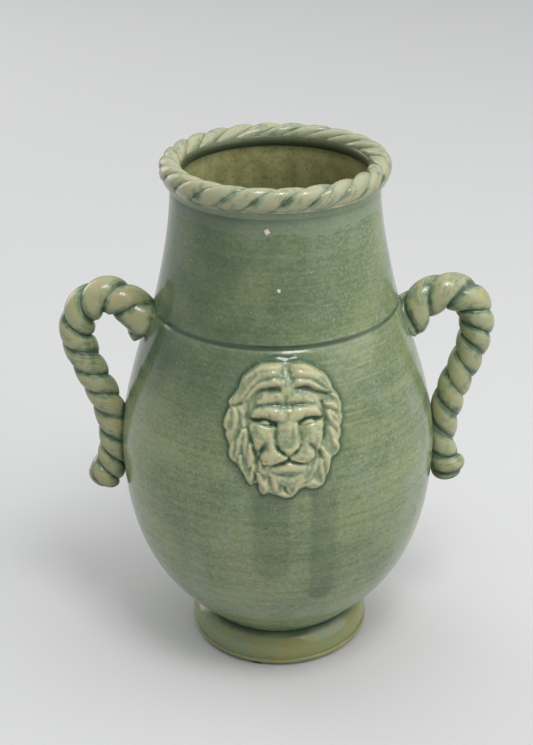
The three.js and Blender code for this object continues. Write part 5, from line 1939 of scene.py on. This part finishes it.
@dataclass
class Studio:
    """The pale floor, the soft lights and the camera at the photograph's angle.

    Sizes are in mm, angles in degrees, and the focal length and the image's offset in pixels.
    """

    image: tuple[int, int] = (533, 745)
    focal: float = 1412.33
    target_height: float = 175.0
    distance: float = 962.45
    elevation: float = 27.51
    azimuth: float = -2.6
    roll: float = 0.549
    offset: tuple[float, float] = (10.83, 30.19)
    sensor: float = 36.0
    sight: float = 100000.0
    floor_colour: str = "#C9C9C9"
    floor_half: float = 20000.0
    floor_roughness: float = 0.9
    floor_gloss: float = 0.2
    sky_colour: str = "#E8EAEC"
    sky_strength: float = 0.5
    panels: tuple[Panel, ...] = (
        Panel("overhead", (200, 500, 3200), (6000, 6000), 84.0),
        Panel("right", (1900, -900, 1500), (2600, 2600), 31.0),
        Panel("left", (-1900, 1900, 1100), (1500, 2000), 21.0),
        Panel("key", (220, -600, 1550), (420, 420), 8.0),
    )

    def build(self) -> None:
        """Builds the floor, the lights and the camera."""
        target = Vector((0, 0, self.target_height))
        self.floor()
        self.sky()
        for panel in self.panels:
            panel.build(target)
        self.camera(target)
        bpy.context.scene.view_settings.view_transform = "Standard"

    def floor(self) -> None:
        """Lays a plain pale floor."""
        bm = bmesh.new()
        bmesh.ops.create_grid(bm, x_segments=4, y_segments=4, size=self.floor_half * MM)
        mesh = bpy.data.meshes.new("floor")
        bm.to_mesh(mesh)
        bm.free()
        material, _, shader = start_material("Pale paper sweep")
        shader.inputs["Base Color"].default_value = linear(self.floor_colour)
        shader.inputs["Roughness"].default_value = self.floor_roughness
        shader.inputs["Specular IOR Level"].default_value = self.floor_gloss
        mesh.materials.append(material)
        floor = bpy.data.objects.new("floor", mesh)
        bpy.context.scene.collection.objects.link(floor)

    def sky(self) -> None:
        """Lights the scene dimly and evenly from all round."""
        world = bpy.data.worlds.new("Studio")
        bpy.context.scene.world = world
        world.use_nodes = True
        sky = world.node_tree.nodes["Background"]
        sky.inputs["Color"].default_value = linear(self.sky_colour)
        sky.inputs["Strength"].default_value = self.sky_strength

    def camera(self, target: Vector) -> None:
        """Places a camera at the photograph's angle.

        Args:
            target: The point that it looks at.
        """
        data = bpy.data.cameras.new("photograph")
        long_side = max(self.image)
        data.sensor_width = self.sensor
        data.lens = self.focal / long_side * self.sensor
        data.shift_x = -self.offset[0] / long_side
        data.shift_y = self.offset[1] / long_side
        data.clip_end = self.sight * MM
        rise, swing = math.radians(self.elevation), math.radians(self.azimuth)
        back = Vector((math.sin(swing) * math.cos(rise), -math.cos(swing) * math.cos(rise), math.sin(rise)))
        camera = bpy.data.objects.new("photograph", data)
        place = Matrix.Translation((target + back * self.distance) * MM)
        aim = (-back).to_track_quat("-Z", "Y").to_matrix().to_4x4()
        camera.matrix_world = place @ aim @ Matrix.Rotation(-math.radians(self.roll), 4, "Z")
        bpy.context.scene.collection.objects.link(camera)
        bpy.context.scene.camera = camera


def main() -> None:
    """Loads the frame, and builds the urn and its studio."""
    logging.basicConfig(level=logging.INFO, format="%(message)s")
    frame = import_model()
    LOG.info("frame: %d nodes", len(frame["nodes"]))
    Studio().build()
    for assembly in (Body(), Foot(), RopeRim(), LEFT_HANDLE, RIGHT_HANDLE, LionMask(), FeltPads()):
        for piece in assembly.build():
            LOG.info("%s: %s", type(assembly).__name__, piece.name)


if __name__ == "__main__":
    main()
